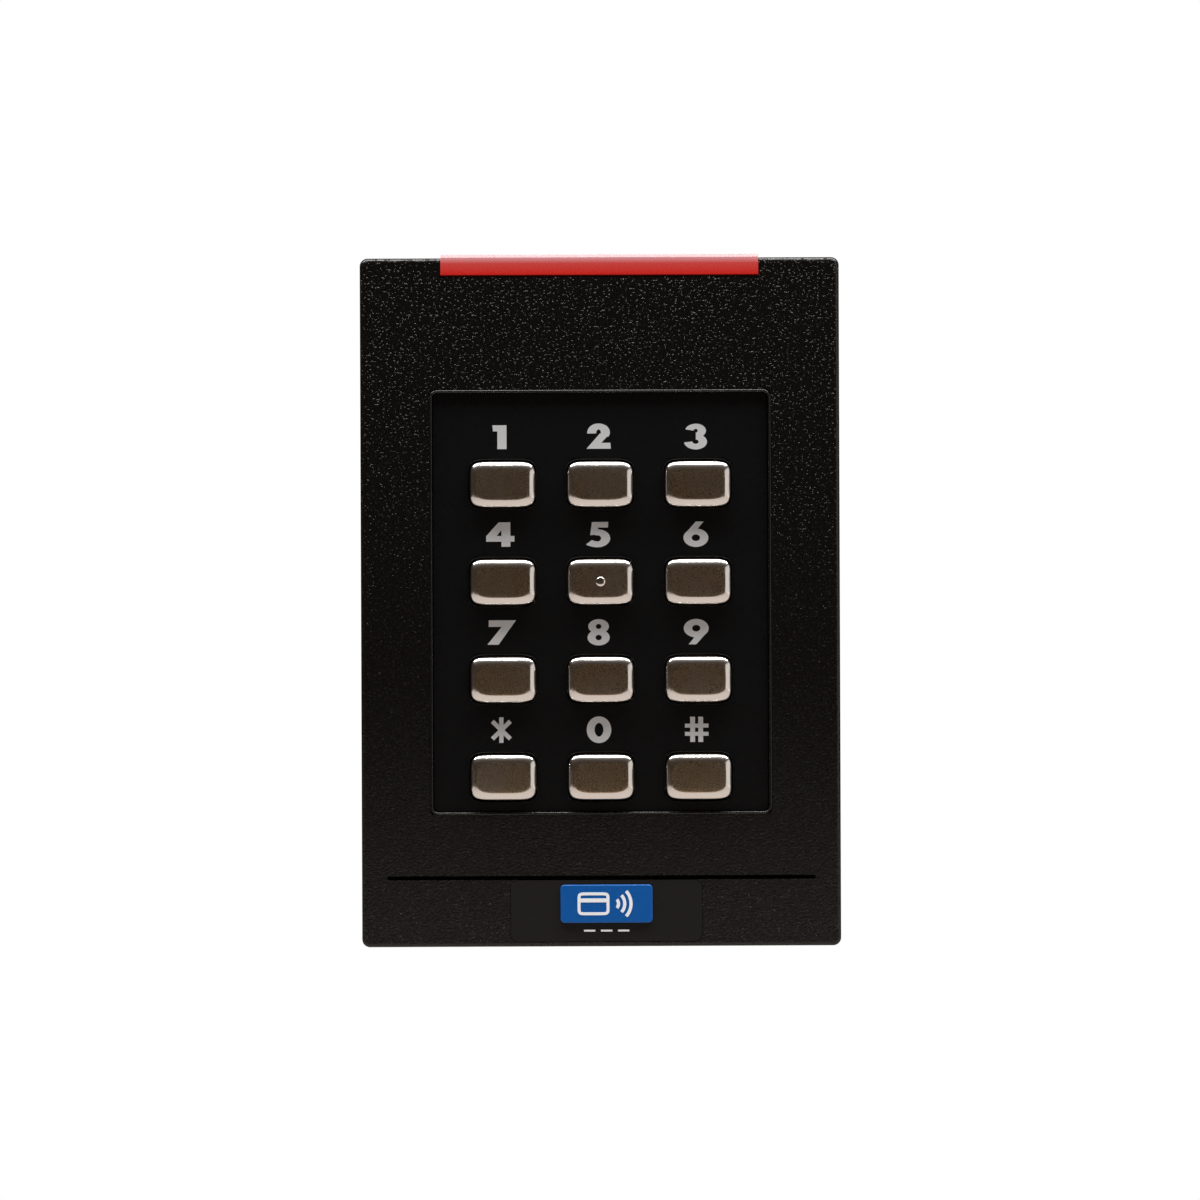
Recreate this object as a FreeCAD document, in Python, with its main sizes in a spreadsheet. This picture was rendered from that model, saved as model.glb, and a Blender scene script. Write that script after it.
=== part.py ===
import FreeCAD, Part
import math
import os
import Sketcher
from FreeCAD import Vector

# Wall-mounted card reader with a keypad.
# +X is to the right and +Z up as the user faces it; the front looks along -Y.
# The origin is the centre of the wall plate's back face, on the wall.
# A "level" is a distance from the wall, so a level of 10 is the plane y = -10.

SIZES = [
    # housing
    ("cover_width", 84.4),
    ("cover_height", 121.3),
    ("cover_level", 26.5),  # the front face
    ("cover_wall", 2.4),
    ("face_wall", 2.4),
    ("skirt_wall", 1.2),  # thinner wall round the rear cover
    ("skirt_level", 9.2),  # where the skirt ends and the sealing step begins
    ("wall_gap", 0.4),  # rear rim to the wall
    ("corner_radius", 1.4),
    ("edge_round", 0.8),
    ("seam_gap", 0.1),  # between inset pieces and their pockets
    ("boss_radius", 2.8),
    ("boss_inset", 2.6),  # corner boss axis from the inside of the walls
    ("pilot_depth", 8.0),
    # keypad
    ("panel_width", 59.2),
    ("panel_height", 74.3),
    ("panel_thickness", 1.6),
    ("panel_corner", 1.4),
    ("panel_drop", 0.6),  # panel face below the cover's face
    ("panel_side_gap", 0.5),
    ("panel_end_gap", 0.25),
    ("tape_thickness", 0.2),
    ("ledge_thickness", 1.3),
    ("ledge_side_width", 2.8),
    ("ledge_end_width", 1.1),
    ("key_pitch_x", 17.2),
    ("key_pitch_z", 17.2),
    ("key_foot", 2.2),  # lowest keys above the panel's lower edge
    ("key_width", 11.6),
    ("key_height", 8.3),
    ("key_corner", 1.7),
    ("key_rise", 1.8),  # key top above the panel
    ("key_gap", 0.55),
    ("key_draft", 8.0),  # degrees
    ("key_round", 0.7),
    ("key_flange", 0.9),
    ("flange_thickness", 0.8),
    ("flange_gap", 0.2),
    ("key_travel", 1.0),
    ("nib_radius", 0.85),
    ("nib_height", 0.3),
    ("board_thickness", 1.6),
    ("mat_thickness", 1.2),
    ("dome_rise", 2.45),
    ("dome_width", 9.4),
    ("dome_height", 6.8),
    ("dome_wall", 0.7),
    ("pill_radius", 1.8),
    ("pill_thickness", 0.4),
    ("pad_thickness", 0.1),
    # light bar, groove, label and badge
    ("bar_width", 56.0),
    ("bar_face_height", 3.3),
    ("bar_proud", 0.6),
    ("bar_reach", 9.0),  # from the front face back along the top
    ("bar_chamfer", 0.5),
    ("guide_width", 40.0),
    ("groove_inset", 4.45),  # ends of the groove from the sides
    ("groove_width", 0.7),
    ("groove_depth", 0.4),
    ("groove_rise", 12.15),  # above the bottom edge
    ("label_width", 33.7),
    ("label_height", 10.8),
    ("label_thickness", 0.3),
    ("label_shift", 0.85),
    ("badge_width", 16.2),
    ("badge_height", 6.7),
    ("badge_thickness", 0.4),
    ("badge_corner", 0.7),
    ("badge_rise", 7.55),  # above the bottom edge
    # main board
    ("main_board_level", 12.0),
    ("board_gap", 0.8),
    ("post_inset_x", 10.0),
    ("post_inset_z", 4.5),
    ("post_radius", 2.2),
    ("coil_inset_x", 3.5),  # from the edges of the main board
    ("coil_inset_z", 8.0),
    ("coil_rim", 3.5),
    ("terminal_pitch", 3.5),
    ("terminal_height", 7.5),
    ("terminal_depth", 8.5),
    ("terminal_z", -16.0),
    ("terminal_split", 0.6),
    ("tamper_z", 33.0),
    ("sounder_radius", 6.0),
    # rear cover and wall plate
    ("rear_level", 6.6),
    ("rear_thickness", 2.0),
    ("rear_fit", 0.2),
    ("gasket_width", 1.0),
    ("plate_inset", 4.0),  # wall plate's edges from the housing's outside
    ("plate_thickness", 1.6),
    ("opening_width", 40.0),
    ("opening_height", 50.0),
    ("gang_spacing", 83.3),  # single wall box, hole to hole
    ("round_spacing", 60.0),  # round wall box, hole to hole
    ("slot_radius", 2.0),
    ("slot_length", 8.0),
    ("hook_x", 22.0),
    ("hook_drop", 9.5),  # below the plate's top edge
    ("hook_width", 8.0),
    ("hook_lip", 2.2),
    ("lock_level", 3.8),  # axis of the security screw
    ("lock_radius", 1.5),
    ("small_post", 2.0),
    ("small_pilot", 0.9),
    ("small_head", 1.7),
    ("small_head_thickness", 1.2),
    ("cover_pilot", 1.2),
    ("cover_head", 2.3),
    ("cover_head_thickness", 1.4),
    ("board_margin", 3.2),  # keypad board's edge beyond its screws
    ("mat_margin", 0.5),
    ("dome_draft", 12.0),  # degrees
    ("panel_edge_round", 0.25),
    ("lamp_height", 1.0),
    ("lamp_pitch", 4.8),
    ("lamp_drop", 2.2),  # lamps below the bar's lower edge
    ("former_wall", 1.0),
    ("processor_side", 12.0),
    ("processor_x", -14.0),
    ("processor_z", 4.0),
    ("radio_side", 7.0),
    ("radio_x", 14.0),
    ("radio_z", 8.0),
    ("secure_width", 6.0),
    ("secure_height", 5.0),
    ("secure_z", -8.0),
    ("crystal_width", 5.0),
    ("crystal_height", 3.2),
    ("crystal_x", -24.0),
    ("crystal_z", 14.0),
    ("chip_thickness", 1.2),
    ("header_width", 20.0),
    ("header_height", 5.0),
    ("can_x", -22.0),
    ("can_z", -18.0),
    ("can_radius", 2.5),
    ("can_height", 3.6),
    ("tamper_depth", 3.0),
    ("tamper_width", 4.0),
    ("tamper_height", 3.0),
    ("tamper_radius", 4.0),
    ("clamp_radius", 1.3),
    ("wire_room", 4.0),
    ("tab_width", 14.0),
    ("tab_height", 3.0),
    ("lock_seat_width", 12.0),
    ("lock_head_radius", 2.3),
    ("lock_head_thickness", 1.3),
    ("lock_head_inset", 1.5),
    ("lock_seat_thickness", 3.2),
]

# Levels and places that follow from the sizes.
CAVITY_TOP = "(sizes.cover_level - sizes.face_wall)"
PANEL_TOP = "(sizes.cover_level - sizes.panel_drop)"
PANEL_BASE = f"({PANEL_TOP} - sizes.panel_thickness)"
RECESS_FLOOR = f"({PANEL_BASE} - sizes.tape_thickness)"
LEDGE_BASE = f"({RECESS_FLOOR} - sizes.ledge_thickness)"
KEY_TOP = f"({PANEL_TOP} + sizes.key_rise)"
FLANGE_TOP = f"({PANEL_BASE} - sizes.flange_gap)"
FLANGE_BASE = f"({FLANGE_TOP} - sizes.flange_thickness)"
DOME_TOP = f"({FLANGE_BASE} - sizes.seam_gap / 2)"
MAT_TOP = f"({DOME_TOP} - sizes.dome_rise)"
KEYPAD_BOARD_TOP = f"({MAT_TOP} - sizes.mat_thickness)"
KEYPAD_BOARD_BASE = f"({KEYPAD_BOARD_TOP} - sizes.board_thickness)"
PAD_TOP = f"({KEYPAD_BOARD_TOP} + sizes.pad_thickness)"
PILL_BASE = f"({PAD_TOP} + sizes.key_travel)"
MAIN_BOARD_TOP = "(sizes.main_board_level + sizes.board_thickness)"
REAR_TOP = "(sizes.rear_level + sizes.rear_thickness)"
RECESS_WIDTH = "(sizes.panel_width + 2 * sizes.panel_side_gap)"
RECESS_HEIGHT = "(sizes.panel_height + 2 * sizes.panel_end_gap)"
WINDOW_WIDTH = f"({RECESS_WIDTH} - 2 * sizes.ledge_side_width)"
WINDOW_HEIGHT = f"({RECESS_HEIGHT} - 2 * sizes.ledge_end_width)"
INNER_WIDTH = "(sizes.cover_width - 2 * sizes.cover_wall)"
INNER_HEIGHT = "(sizes.cover_height - 2 * sizes.cover_wall)"
SKIRT_WIDTH = "(sizes.cover_width - 2 * sizes.skirt_wall)"
SKIRT_HEIGHT = "(sizes.cover_height - 2 * sizes.skirt_wall)"
REAR_WIDTH = f"({SKIRT_WIDTH} - 2 * sizes.rear_fit)"
REAR_HEIGHT = f"({SKIRT_HEIGHT} - 2 * sizes.rear_fit)"
BOSS_X = f"({INNER_WIDTH} / 2 - sizes.boss_inset)"
BOSS_Z = f"({INNER_HEIGHT} / 2 - sizes.boss_inset)"
BOARD_WIDTH = f"({INNER_WIDTH} - 2 * sizes.board_gap)"
BOARD_HEIGHT = f"({INNER_HEIGHT} - 2 * sizes.board_gap)"
POST_X = f"({BOARD_WIDTH} / 2 - sizes.post_inset_x)"
POST_Z = f"({BOARD_HEIGHT} / 2 - sizes.post_inset_z)"
KEY_LEFT = "(-sizes.key_pitch_x)"
LOW_ROW = "(sizes.key_foot + sizes.key_height / 2 - sizes.panel_height / 2)"
KEY_TOP_ROW = f"({LOW_ROW} + 3 * sizes.key_pitch_z)"
TOP_Z = "(sizes.cover_height / 2)"
BAR_BASE_Z = f"({TOP_Z} - sizes.bar_face_height)"
BOTTOM_Z = "(-sizes.cover_height / 2)"
GROOVE_Z = f"({BOTTOM_Z} + sizes.groove_rise)"
LABEL_Z = f"({GROOVE_Z} - sizes.groove_width / 2 - sizes.seam_gap - sizes.label_height / 2)"
BADGE_Z = f"({BOTTOM_Z} + sizes.badge_rise)"
SCREW_POST_X = f"({WINDOW_WIDTH} / 2 + sizes.small_post + sizes.seam_gap)"
SCREW_POST_Z = f"({RECESS_HEIGHT} / 2 - 4 * sizes.seam_gap)"
KEYPAD_BOARD_WIDTH = f"(2 * {SCREW_POST_X} + 2 * sizes.board_margin)"
KEYPAD_BOARD_HEIGHT = f"(2 * {SCREW_POST_Z} + 2 * sizes.board_margin)"
TERMINAL_WIDTH = "(7 * sizes.terminal_pitch)"
TERMINAL_X = f"({TERMINAL_WIDTH} / 2 + sizes.terminal_split / 2)"
LED_Z = f"({BAR_BASE_Z} - sizes.lamp_drop)"
TAB_TOP = "(sizes.lock_level + sizes.lock_radius + sizes.wall_gap * 2)"
LAMP_TOP = f"({MAIN_BOARD_TOP} + sizes.lamp_height)"
BAR_BACK = "(sizes.cover_level - sizes.bar_reach)"
LOCK_HEAD_TOP = f"({BOTTOM_Z} + sizes.lock_head_inset)"
LOCK_SEAT_TOP = f"({BOTTOM_Z} + sizes.lock_seat_thickness)"
PLATE_WIDTH = "(sizes.cover_width - 2 * sizes.plate_inset)"
PLATE_HEIGHT = "(sizes.cover_height - 2 * sizes.plate_inset)"
PLATE_BOTTOM = f"(-{PLATE_HEIGHT} / 2)"
HOOK_Z = f"({PLATE_HEIGHT} / 2 - sizes.hook_drop)"
COIL_WIDTH = f"({BOARD_WIDTH} - 2 * sizes.coil_inset_x)"
COIL_HEIGHT = f"({BOARD_HEIGHT} - 2 * sizes.coil_inset_z)"
COIL_BAY = f"({COIL_HEIGHT} / 2 - sizes.coil_rim - sizes.board_gap)"
COIL_TOP = f"({KEYPAD_BOARD_BASE} - sizes.small_head_thickness - 3 * sizes.seam_gap)"
TAB_HIGH = f"({PLATE_BOTTOM} + sizes.tab_height)"

doc = FreeCAD.newDocument("keypad_reader")
sheet = doc.addObject("Spreadsheet::Sheet", "sizes")
for row, (name, value) in enumerate(SIZES, start=1):
    sheet.set(f"A{row}", name)
    sheet.set(f"B{row}", str(value))
    sheet.setAlias(f"B{row}", name)
doc.recompute()

pieces = []


def number(expression):
    """The present value of an expression over the sheet."""
    return float(sheet.evalExpression(expression))


def new_body(name):
    """An empty body for one piece of the reader."""
    body = doc.addObject("PartDesign::Body", name)
    body.Label = name
    pieces.append(body)
    return body


def new_sketch(body, plane, offset, u="0", v="0"):
    """An empty sketch on one of the body's planes, moved by offset along the normal and by u, v in it."""
    sketch = body.newObject("Sketcher::SketchObject", f"{body.Name}_sketch")
    support = next(feature for feature in body.Origin.OriginFeatures if feature.Role == plane)
    sketch.AttachmentSupport = [(support, "")]
    sketch.MapMode = "FlatFace"
    sketch.setExpression(".AttachmentOffset.Base.x", u)
    sketch.setExpression(".AttachmentOffset.Base.y", v)
    sketch.setExpression(".AttachmentOffset.Base.z", offset)
    return sketch


def bind(sketch, constraint, expression):
    """Add a dimension to a sketch and tie it to an expression."""
    index = sketch.addConstraint(constraint)
    sketch.setExpression(f"Constraints[{index}]", expression)


def draw_circle(sketch, radius):
    """A circle about the sketch's origin."""
    circle = Part.Circle(Vector(0, 0, 0), Vector(0, 0, 1), number(radius))
    index = sketch.addGeometry(circle)
    sketch.addConstraint(Sketcher.Constraint("Coincident", index, 3, -1, 1))
    bind(sketch, Sketcher.Constraint("Radius", index, number(radius)), radius)


def draw_rectangle(sketch, width, height):
    """A rectangle centred on the sketch's origin: bottom, right, top and left sides."""
    half_width = number(width) / 2
    half_height = number(height) / 2
    corners = [
        Vector(-half_width, -half_height),
        Vector(half_width, -half_height),
        Vector(half_width, half_height),
        Vector(-half_width, half_height),
    ]
    for start, end in zip(corners, corners[1:] + corners[:1]):
        sketch.addGeometry(Part.LineSegment(start, end))
    for side in range(4):
        sketch.addConstraint(Sketcher.Constraint("Coincident", side, 2, (side + 1) % 4, 1))
        sketch.addConstraint(Sketcher.Constraint(("Horizontal", "Vertical")[side % 2], side))
    sketch.addConstraint(Sketcher.Constraint("Symmetric", 0, 1, 2, 1, -1, 1))
    bind(sketch, Sketcher.Constraint("DistanceX", 0, 1, 0, 2, 2 * half_width), width)
    bind(sketch, Sketcher.Constraint("DistanceY", 1, 1, 1, 2, 2 * half_height), height)


def draw_rounded_rectangle(sketch, width, height, corner):
    """A rectangle with equal round corners, centred on the sketch's origin."""
    radius = number(corner)
    x = number(width) / 2
    z = number(height) / 2
    reach_x = x - radius
    reach_z = z - radius
    centres = [(reach_x, reach_z), (-reach_x, reach_z), (-reach_x, -reach_z), (reach_x, -reach_z)]
    for turn, (u, v) in enumerate(centres):
        circle = Part.Circle(Vector(u, v), Vector(0, 0, 1), radius)
        sketch.addGeometry(Part.ArcOfCircle(circle, turn * math.pi / 2, (turn + 1) * math.pi / 2))
    sides = [
        (Vector(x - radius, z), Vector(radius - x, z)),
        (Vector(-x, z - radius), Vector(-x, radius - z)),
        (Vector(radius - x, -z), Vector(x - radius, -z)),
        (Vector(x, radius - z), Vector(x, z - radius)),
    ]
    for start, end in sides:
        sketch.addGeometry(Part.LineSegment(start, end))
    for turn in range(4):
        sketch.addConstraint(Sketcher.Constraint("Tangent", turn, 2, 4 + turn, 1))
        sketch.addConstraint(Sketcher.Constraint("Tangent", 4 + turn, 2, (turn + 1) % 4, 1))
        sketch.addConstraint(Sketcher.Constraint(("Horizontal", "Vertical")[turn % 2], 4 + turn))
    for turn in range(1, 4):
        sketch.addConstraint(Sketcher.Constraint("Equal", 0, turn))
    sketch.addConstraint(Sketcher.Constraint("Symmetric", 0, 3, 2, 3, -1, 1))
    bind(sketch, Sketcher.Constraint("DistanceX", 5, 1, 7, 1, 2 * x), width)
    bind(sketch, Sketcher.Constraint("DistanceY", 6, 1, 4, 1, 2 * z), height)
    bind(sketch, Sketcher.Constraint("Radius", 0, radius), corner)


def draw_slot(sketch, length, radius, upright):
    """A slot with half-round ends, centred on the sketch's origin."""
    end_radius = number(radius)
    reach = number(length) / 2 - end_radius
    turn = math.pi / 2 if upright else 0
    along = Vector(math.cos(turn), math.sin(turn), 0)
    across = Vector(-math.sin(turn), math.cos(turn), 0)
    for side, start in ((1, -math.pi / 2), (-1, math.pi / 2)):
        circle = Part.Circle(along * reach * side, Vector(0, 0, 1), end_radius)
        sketch.addGeometry(Part.ArcOfCircle(circle, turn + start, turn + start + math.pi))
    for side in (1, -1):
        start = along * reach * side + across * end_radius * side
        end = along * -reach * side + across * end_radius * side
        sketch.addGeometry(Part.LineSegment(start, end))
    for first, second in ((0, 2), (2, 1), (1, 3), (3, 0)):
        sketch.addConstraint(Sketcher.Constraint("Tangent", first, 2, second, 1))
    sketch.addConstraint(Sketcher.Constraint("Symmetric", 0, 3, 1, 3, -1, 1))
    sketch.addConstraint(Sketcher.Constraint("Vertical" if upright else "Horizontal", 2))
    kind = "DistanceY" if upright else "DistanceX"
    bind(sketch, Sketcher.Constraint("Radius", 0, end_radius), radius)
    bind(sketch, Sketcher.Constraint(kind, 1, 3, 0, 3, 2 * reach), f"{length} - 2 * {radius}")


def pad(body, sketch, length, draft=None):
    """Raise a sketch along its normal; a positive draft narrows it on the way, in degrees."""
    feature = body.newObject("PartDesign::Pad", f"{body.Name}_pad")
    feature.Profile = sketch
    feature.setExpression("Length", length)
    if draft:
        feature.setExpression("TaperAngle", f"-({draft})")
    return feature


def pocket(body, sketch, depth):
    """Cut a sketch's outline out of the body, along the sketch's normal."""
    feature = body.newObject("PartDesign::Pocket", f"{body.Name}_pocket")
    feature.Profile = sketch
    feature.Reversed = True
    feature.setExpression("Length", depth)
    return feature


def face_sketch(body, shape, level, x, z):
    """A sketch parallel to the wall: shape is (radius,), (width, height) or (width, height, corner)."""
    sketch = new_sketch(body, "XZ_Plane", level, x, z)
    drawing = (draw_circle, draw_rectangle, draw_rounded_rectangle)[len(shape) - 1]
    drawing(sketch, *shape)
    return sketch


def solid(body, shape, low, high, x="0", z="0", draft=None):
    """Material between two levels."""
    return pad(body, face_sketch(body, shape, low, x, z), f"{high} - {low}", draft)


def hollow(body, shape, low, high, x="0", z="0"):
    """A hole between two levels."""
    return pocket(body, face_sketch(body, shape, low, x, z), f"{high} - {low}")


def upright_sketch(body, shape, low_z, x, level):
    """A sketch parallel to the floor at a height, centred at a level in front of the wall."""
    sketch = new_sketch(body, "XY_Plane", low_z, x, f"-({level})")
    drawing = (draw_circle, draw_rectangle)[len(shape) - 1]
    drawing(sketch, *shape)
    return sketch


def upright_solid(body, shape, low_z, high_z, x, level):
    """Material between two heights."""
    return pad(body, upright_sketch(body, shape, low_z, x, level), f"{high_z} - {low_z}")


def upright_hollow(body, shape, low_z, high_z, x, level):
    """A hole between two heights."""
    return pocket(body, upright_sketch(body, shape, low_z, x, level), f"{high_z} - {low_z}")


def grid(body, features, columns=1, step_x="0", rows=1, step_z="0"):
    """Repeat features to the right and downwards, from the top left one."""
    sketch = features[0].Profile[0]
    pattern = body.newObject("PartDesign::MultiTransform", f"{body.Name}_grid")
    pattern.Originals = features
    directions = []
    for axis, count, step in (("H_Axis", columns, step_x), ("V_Axis", rows, step_z)):
        if count > 1:
            line = doc.addObject("PartDesign::LinearPattern", f"{body.Name}_{axis}")
            line.Direction = (sketch, [axis])
            line.Reversed = axis == "V_Axis"
            line.Occurrences = count
            line.setExpression("Length", f"({step}) * {count - 1}")
            directions.append(line)
    pattern.Transformations = directions
    body.Tip = pattern
    return pattern


def corner_grid(body, features, x, z):
    """Repeat features, drawn at the upper left corner, at all four corners."""
    return grid(body, features, 2, f"2 * {x}", 2, f"2 * {z}")


def key_grid(body, features):
    """Repeat features, drawn at the first key, for all twelve keys."""
    return grid(body, features, 3, "sizes.key_pitch_x", 4, "sizes.key_pitch_z")


def dress_front(body, feature, level, kind, amount, lowest_z=None):
    """Round or chamfer the edges that lie on a level, those above lowest_z only if it is given."""
    doc.recompute()
    depth = -number(level)
    floor = -math.inf if lowest_z is None else number(lowest_z)
    names = []
    for index, edge in enumerate(feature.Shape.Edges, start=1):
        points = [vertex.Point for vertex in edge.Vertexes]
        if all(abs(point.y - depth) < 1e-4 and point.z > floor for point in points):
            names.append(f"Edge{index}")
    dressing = body.newObject(f"PartDesign::{kind}", f"{body.Name}_{kind.lower()}")
    dressing.Base = (feature, names)
    dressing.setExpression("Radius" if kind == "Fillet" else "Size", amount)
    return dressing


def make_front_cover():
    """Moulded housing: a deep box, open at the back, with a thinner skirt round the rear cover."""
    cover = new_body("front_cover")
    outline = ("sizes.cover_width", "sizes.cover_height", "sizes.corner_radius")
    block = solid(cover, outline, "sizes.wall_gap", "sizes.cover_level")
    dress_front(cover, block, "sizes.cover_level", "Fillet", "sizes.edge_round")
    hollow(cover, (INNER_WIDTH, INNER_HEIGHT, "sizes.edge_round"), "sizes.wall_gap", CAVITY_TOP)
    hollow(cover, (SKIRT_WIDTH, SKIRT_HEIGHT, "sizes.edge_round"), "sizes.wall_gap", "sizes.skirt_level")
    add_keypad_recess(cover)
    add_bosses(cover)
    add_lock_seat(cover)
    cut_front_details(cover)


def add_keypad_recess(cover):
    """Ledge for the panel, its recess and window, and six posts for the key circuit board."""
    frame = (f"{RECESS_WIDTH} + 2 * sizes.face_wall", f"{RECESS_HEIGHT} + 2 * sizes.face_wall")
    solid(cover, frame, LEDGE_BASE, f"({CAVITY_TOP} + sizes.face_wall / 2)")
    hollow(cover, (RECESS_WIDTH, RECESS_HEIGHT, "sizes.edge_round"), RECESS_FLOOR, "sizes.cover_level")
    hollow(cover, (WINDOW_WIDTH, WINDOW_HEIGHT, "sizes.corner_radius"), LEDGE_BASE, RECESS_FLOOR)
    place = {"x": f"-{SCREW_POST_X}", "z": SCREW_POST_Z}
    post = solid(cover, ("sizes.small_post",), KEYPAD_BOARD_TOP, LEDGE_BASE, **place)
    hole_end = f"({LEDGE_BASE} + sizes.ledge_thickness / 2)"
    hole = hollow(cover, ("sizes.small_pilot",), KEYPAD_BOARD_TOP, hole_end, **place)
    grid(cover, [post, hole], 2, f"2 * {SCREW_POST_X}", 3, SCREW_POST_Z)


def add_bosses(cover):
    """Corner bosses for the rear cover's screws and posts for the main board's."""
    roof = f"({CAVITY_TOP} + sizes.face_wall / 2)"
    place = {"x": f"-{BOSS_X}", "z": BOSS_Z}
    boss = solid(cover, ("sizes.boss_radius",), "sizes.skirt_level", roof, **place)
    boss_end = "(sizes.skirt_level + sizes.pilot_depth)"
    pilot = hollow(cover, ("sizes.cover_pilot",), "sizes.skirt_level", boss_end, **place)
    corner_grid(cover, [boss, pilot], BOSS_X, BOSS_Z)
    place = {"x": f"-{POST_X}", "z": POST_Z}
    post = solid(cover, ("sizes.post_radius",), MAIN_BOARD_TOP, roof, **place)
    post_end = f"({MAIN_BOARD_TOP} + sizes.pilot_depth)"
    pilot = hollow(cover, ("sizes.small_pilot",), MAIN_BOARD_TOP, post_end, **place)
    corner_grid(cover, [post, pilot], POST_X, POST_Z)


def add_lock_seat(cover):
    """Thickened pad in the bottom skirt, with the counterbored hole for the security screw."""
    pad_height = f"({LOCK_SEAT_TOP} - {BOTTOM_Z} - sizes.skirt_wall / 2)"
    centre = f"({BOTTOM_Z} + sizes.skirt_wall / 2 + {pad_height} / 2)"
    solid(cover, ("sizes.lock_seat_width", pad_height), "sizes.wall_gap", TAB_TOP, z=centre)
    shaft = ("sizes.lock_radius + 2 * sizes.seam_gap",)
    upright_hollow(cover, shaft, BOTTOM_Z, LOCK_SEAT_TOP, "0", "sizes.lock_level")
    head = ("sizes.lock_head_radius + sizes.seam_gap",)
    upright_hollow(cover, head, BOTTOM_Z, LOCK_HEAD_TOP, "0", "sizes.lock_level")


def cut_front_details(cover):
    """Notch for the light bar, the fine groove and the shallow seat of the label."""
    bar_height = f"({TOP_Z} + 1 - {BAR_BASE_Z} + sizes.seam_gap)"
    bar_centre = f"({BAR_BASE_Z} - sizes.seam_gap + {bar_height} / 2)"
    notch = ("sizes.bar_width + 2 * sizes.seam_gap", bar_height)
    hollow(cover, notch, f"({BAR_BACK} - sizes.seam_gap)", "(sizes.cover_level + 1)", z=bar_centre)
    groove = new_sketch(cover, "XZ_Plane", "sizes.cover_level - sizes.groove_depth", "0", GROOVE_Z)
    draw_slot(groove, "(sizes.cover_width - 2 * sizes.groove_inset)", "(sizes.groove_width / 2)", False)
    pocket(cover, groove, "sizes.groove_depth")
    seat_width = "sizes.label_width + 2 * sizes.seam_gap"
    seat_height = "sizes.label_height + 2 * sizes.seam_gap"
    seat = (seat_width, seat_height, "sizes.corner_radius")
    place = {"x": "sizes.label_shift", "z": LABEL_Z}
    hollow(cover, seat, "(sizes.cover_level - sizes.label_thickness)", "sizes.cover_level", **place)


def make_light_bar():
    """Translucent bar through the top front edge, with a foot that reaches down to the lamps."""
    bar = new_body("light_bar")
    height = "(sizes.bar_face_height + sizes.bar_proud)"
    centre = f"({BAR_BASE_Z} + {height} / 2)"
    block = solid(bar, ("sizes.bar_width", height), BAR_BACK, "sizes.cover_level", z=centre)
    dress_front(bar, block, "sizes.cover_level", "Chamfer", "sizes.bar_chamfer", centre)
    foot_low = f"({LED_Z} - sizes.lamp_height)"
    foot_high = f"({INNER_HEIGHT} / 2 - 3 * sizes.seam_gap)"
    foot_centre = f"(({foot_low} + {foot_high}) / 2)"
    foot = ("sizes.guide_width", f"{foot_high} - {foot_low}")
    foot_base = f"({LAMP_TOP} + 2 * sizes.seam_gap)"
    solid(bar, foot, foot_base, f"({BAR_BACK} + sizes.bar_face_height)", z=foot_centre)


def make_keypad_panel():
    """Smooth insert plate with an opening for each key, on a frame of adhesive tape."""
    panel = new_body("keypad_panel")
    outline = ("sizes.panel_width", "sizes.panel_height", "sizes.panel_corner")
    plate = solid(panel, outline, PANEL_BASE, PANEL_TOP)
    dress_front(panel, plate, PANEL_TOP, "Fillet", "sizes.panel_edge_round")
    width = "sizes.key_width + 2 * sizes.key_gap"
    height = "sizes.key_height + 2 * sizes.key_gap"
    opening = (width, height, "sizes.key_corner + sizes.key_gap")
    key_grid(panel, [hollow(panel, opening, PANEL_BASE, PANEL_TOP, KEY_LEFT, KEY_TOP_ROW)])
    tape = new_body("panel_tape")
    inset = "4 * sizes.seam_gap"
    outline = (f"sizes.panel_width - {inset}", f"sizes.panel_height - {inset}", "sizes.panel_corner")
    solid(tape, outline, RECESS_FLOOR, PANEL_BASE)
    window = (f"{WINDOW_WIDTH} + {inset}", f"{WINDOW_HEIGHT} + {inset}", "sizes.corner_radius")
    hollow(tape, window, RECESS_FLOOR, PANEL_BASE)


def make_key(name, column, row, has_nib):
    """Metal key: a flange behind the panel, a straight stem, and a drafted, rounded cap."""
    key = new_body(name)
    flange_width = "sizes.key_width + 2 * sizes.key_flange"
    flange_height = "sizes.key_height + 2 * sizes.key_flange"
    solid(key, (flange_width, flange_height, "sizes.key_corner"), FLANGE_BASE, FLANGE_TOP)
    outline = ("sizes.key_width", "sizes.key_height", "sizes.key_corner")
    solid(key, outline, FLANGE_TOP, PANEL_TOP)
    cap = solid(key, outline, PANEL_TOP, KEY_TOP, draft="sizes.key_draft")
    dress_front(key, cap, KEY_TOP, "Fillet", "sizes.key_round")
    if has_nib:
        nib_top = f"({KEY_TOP} + sizes.nib_height)"
        nib = solid(key, ("sizes.nib_radius",), KEY_TOP, nib_top)
        dress_front(key, nib, nib_top, "Fillet", "sizes.nib_height * 0.8")
    key.setExpression(".Placement.Base.x", f"{KEY_LEFT} + {column} * sizes.key_pitch_x")
    key.setExpression(".Placement.Base.z", f"{KEY_TOP_ROW} - {row} * sizes.key_pitch_z")


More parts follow.
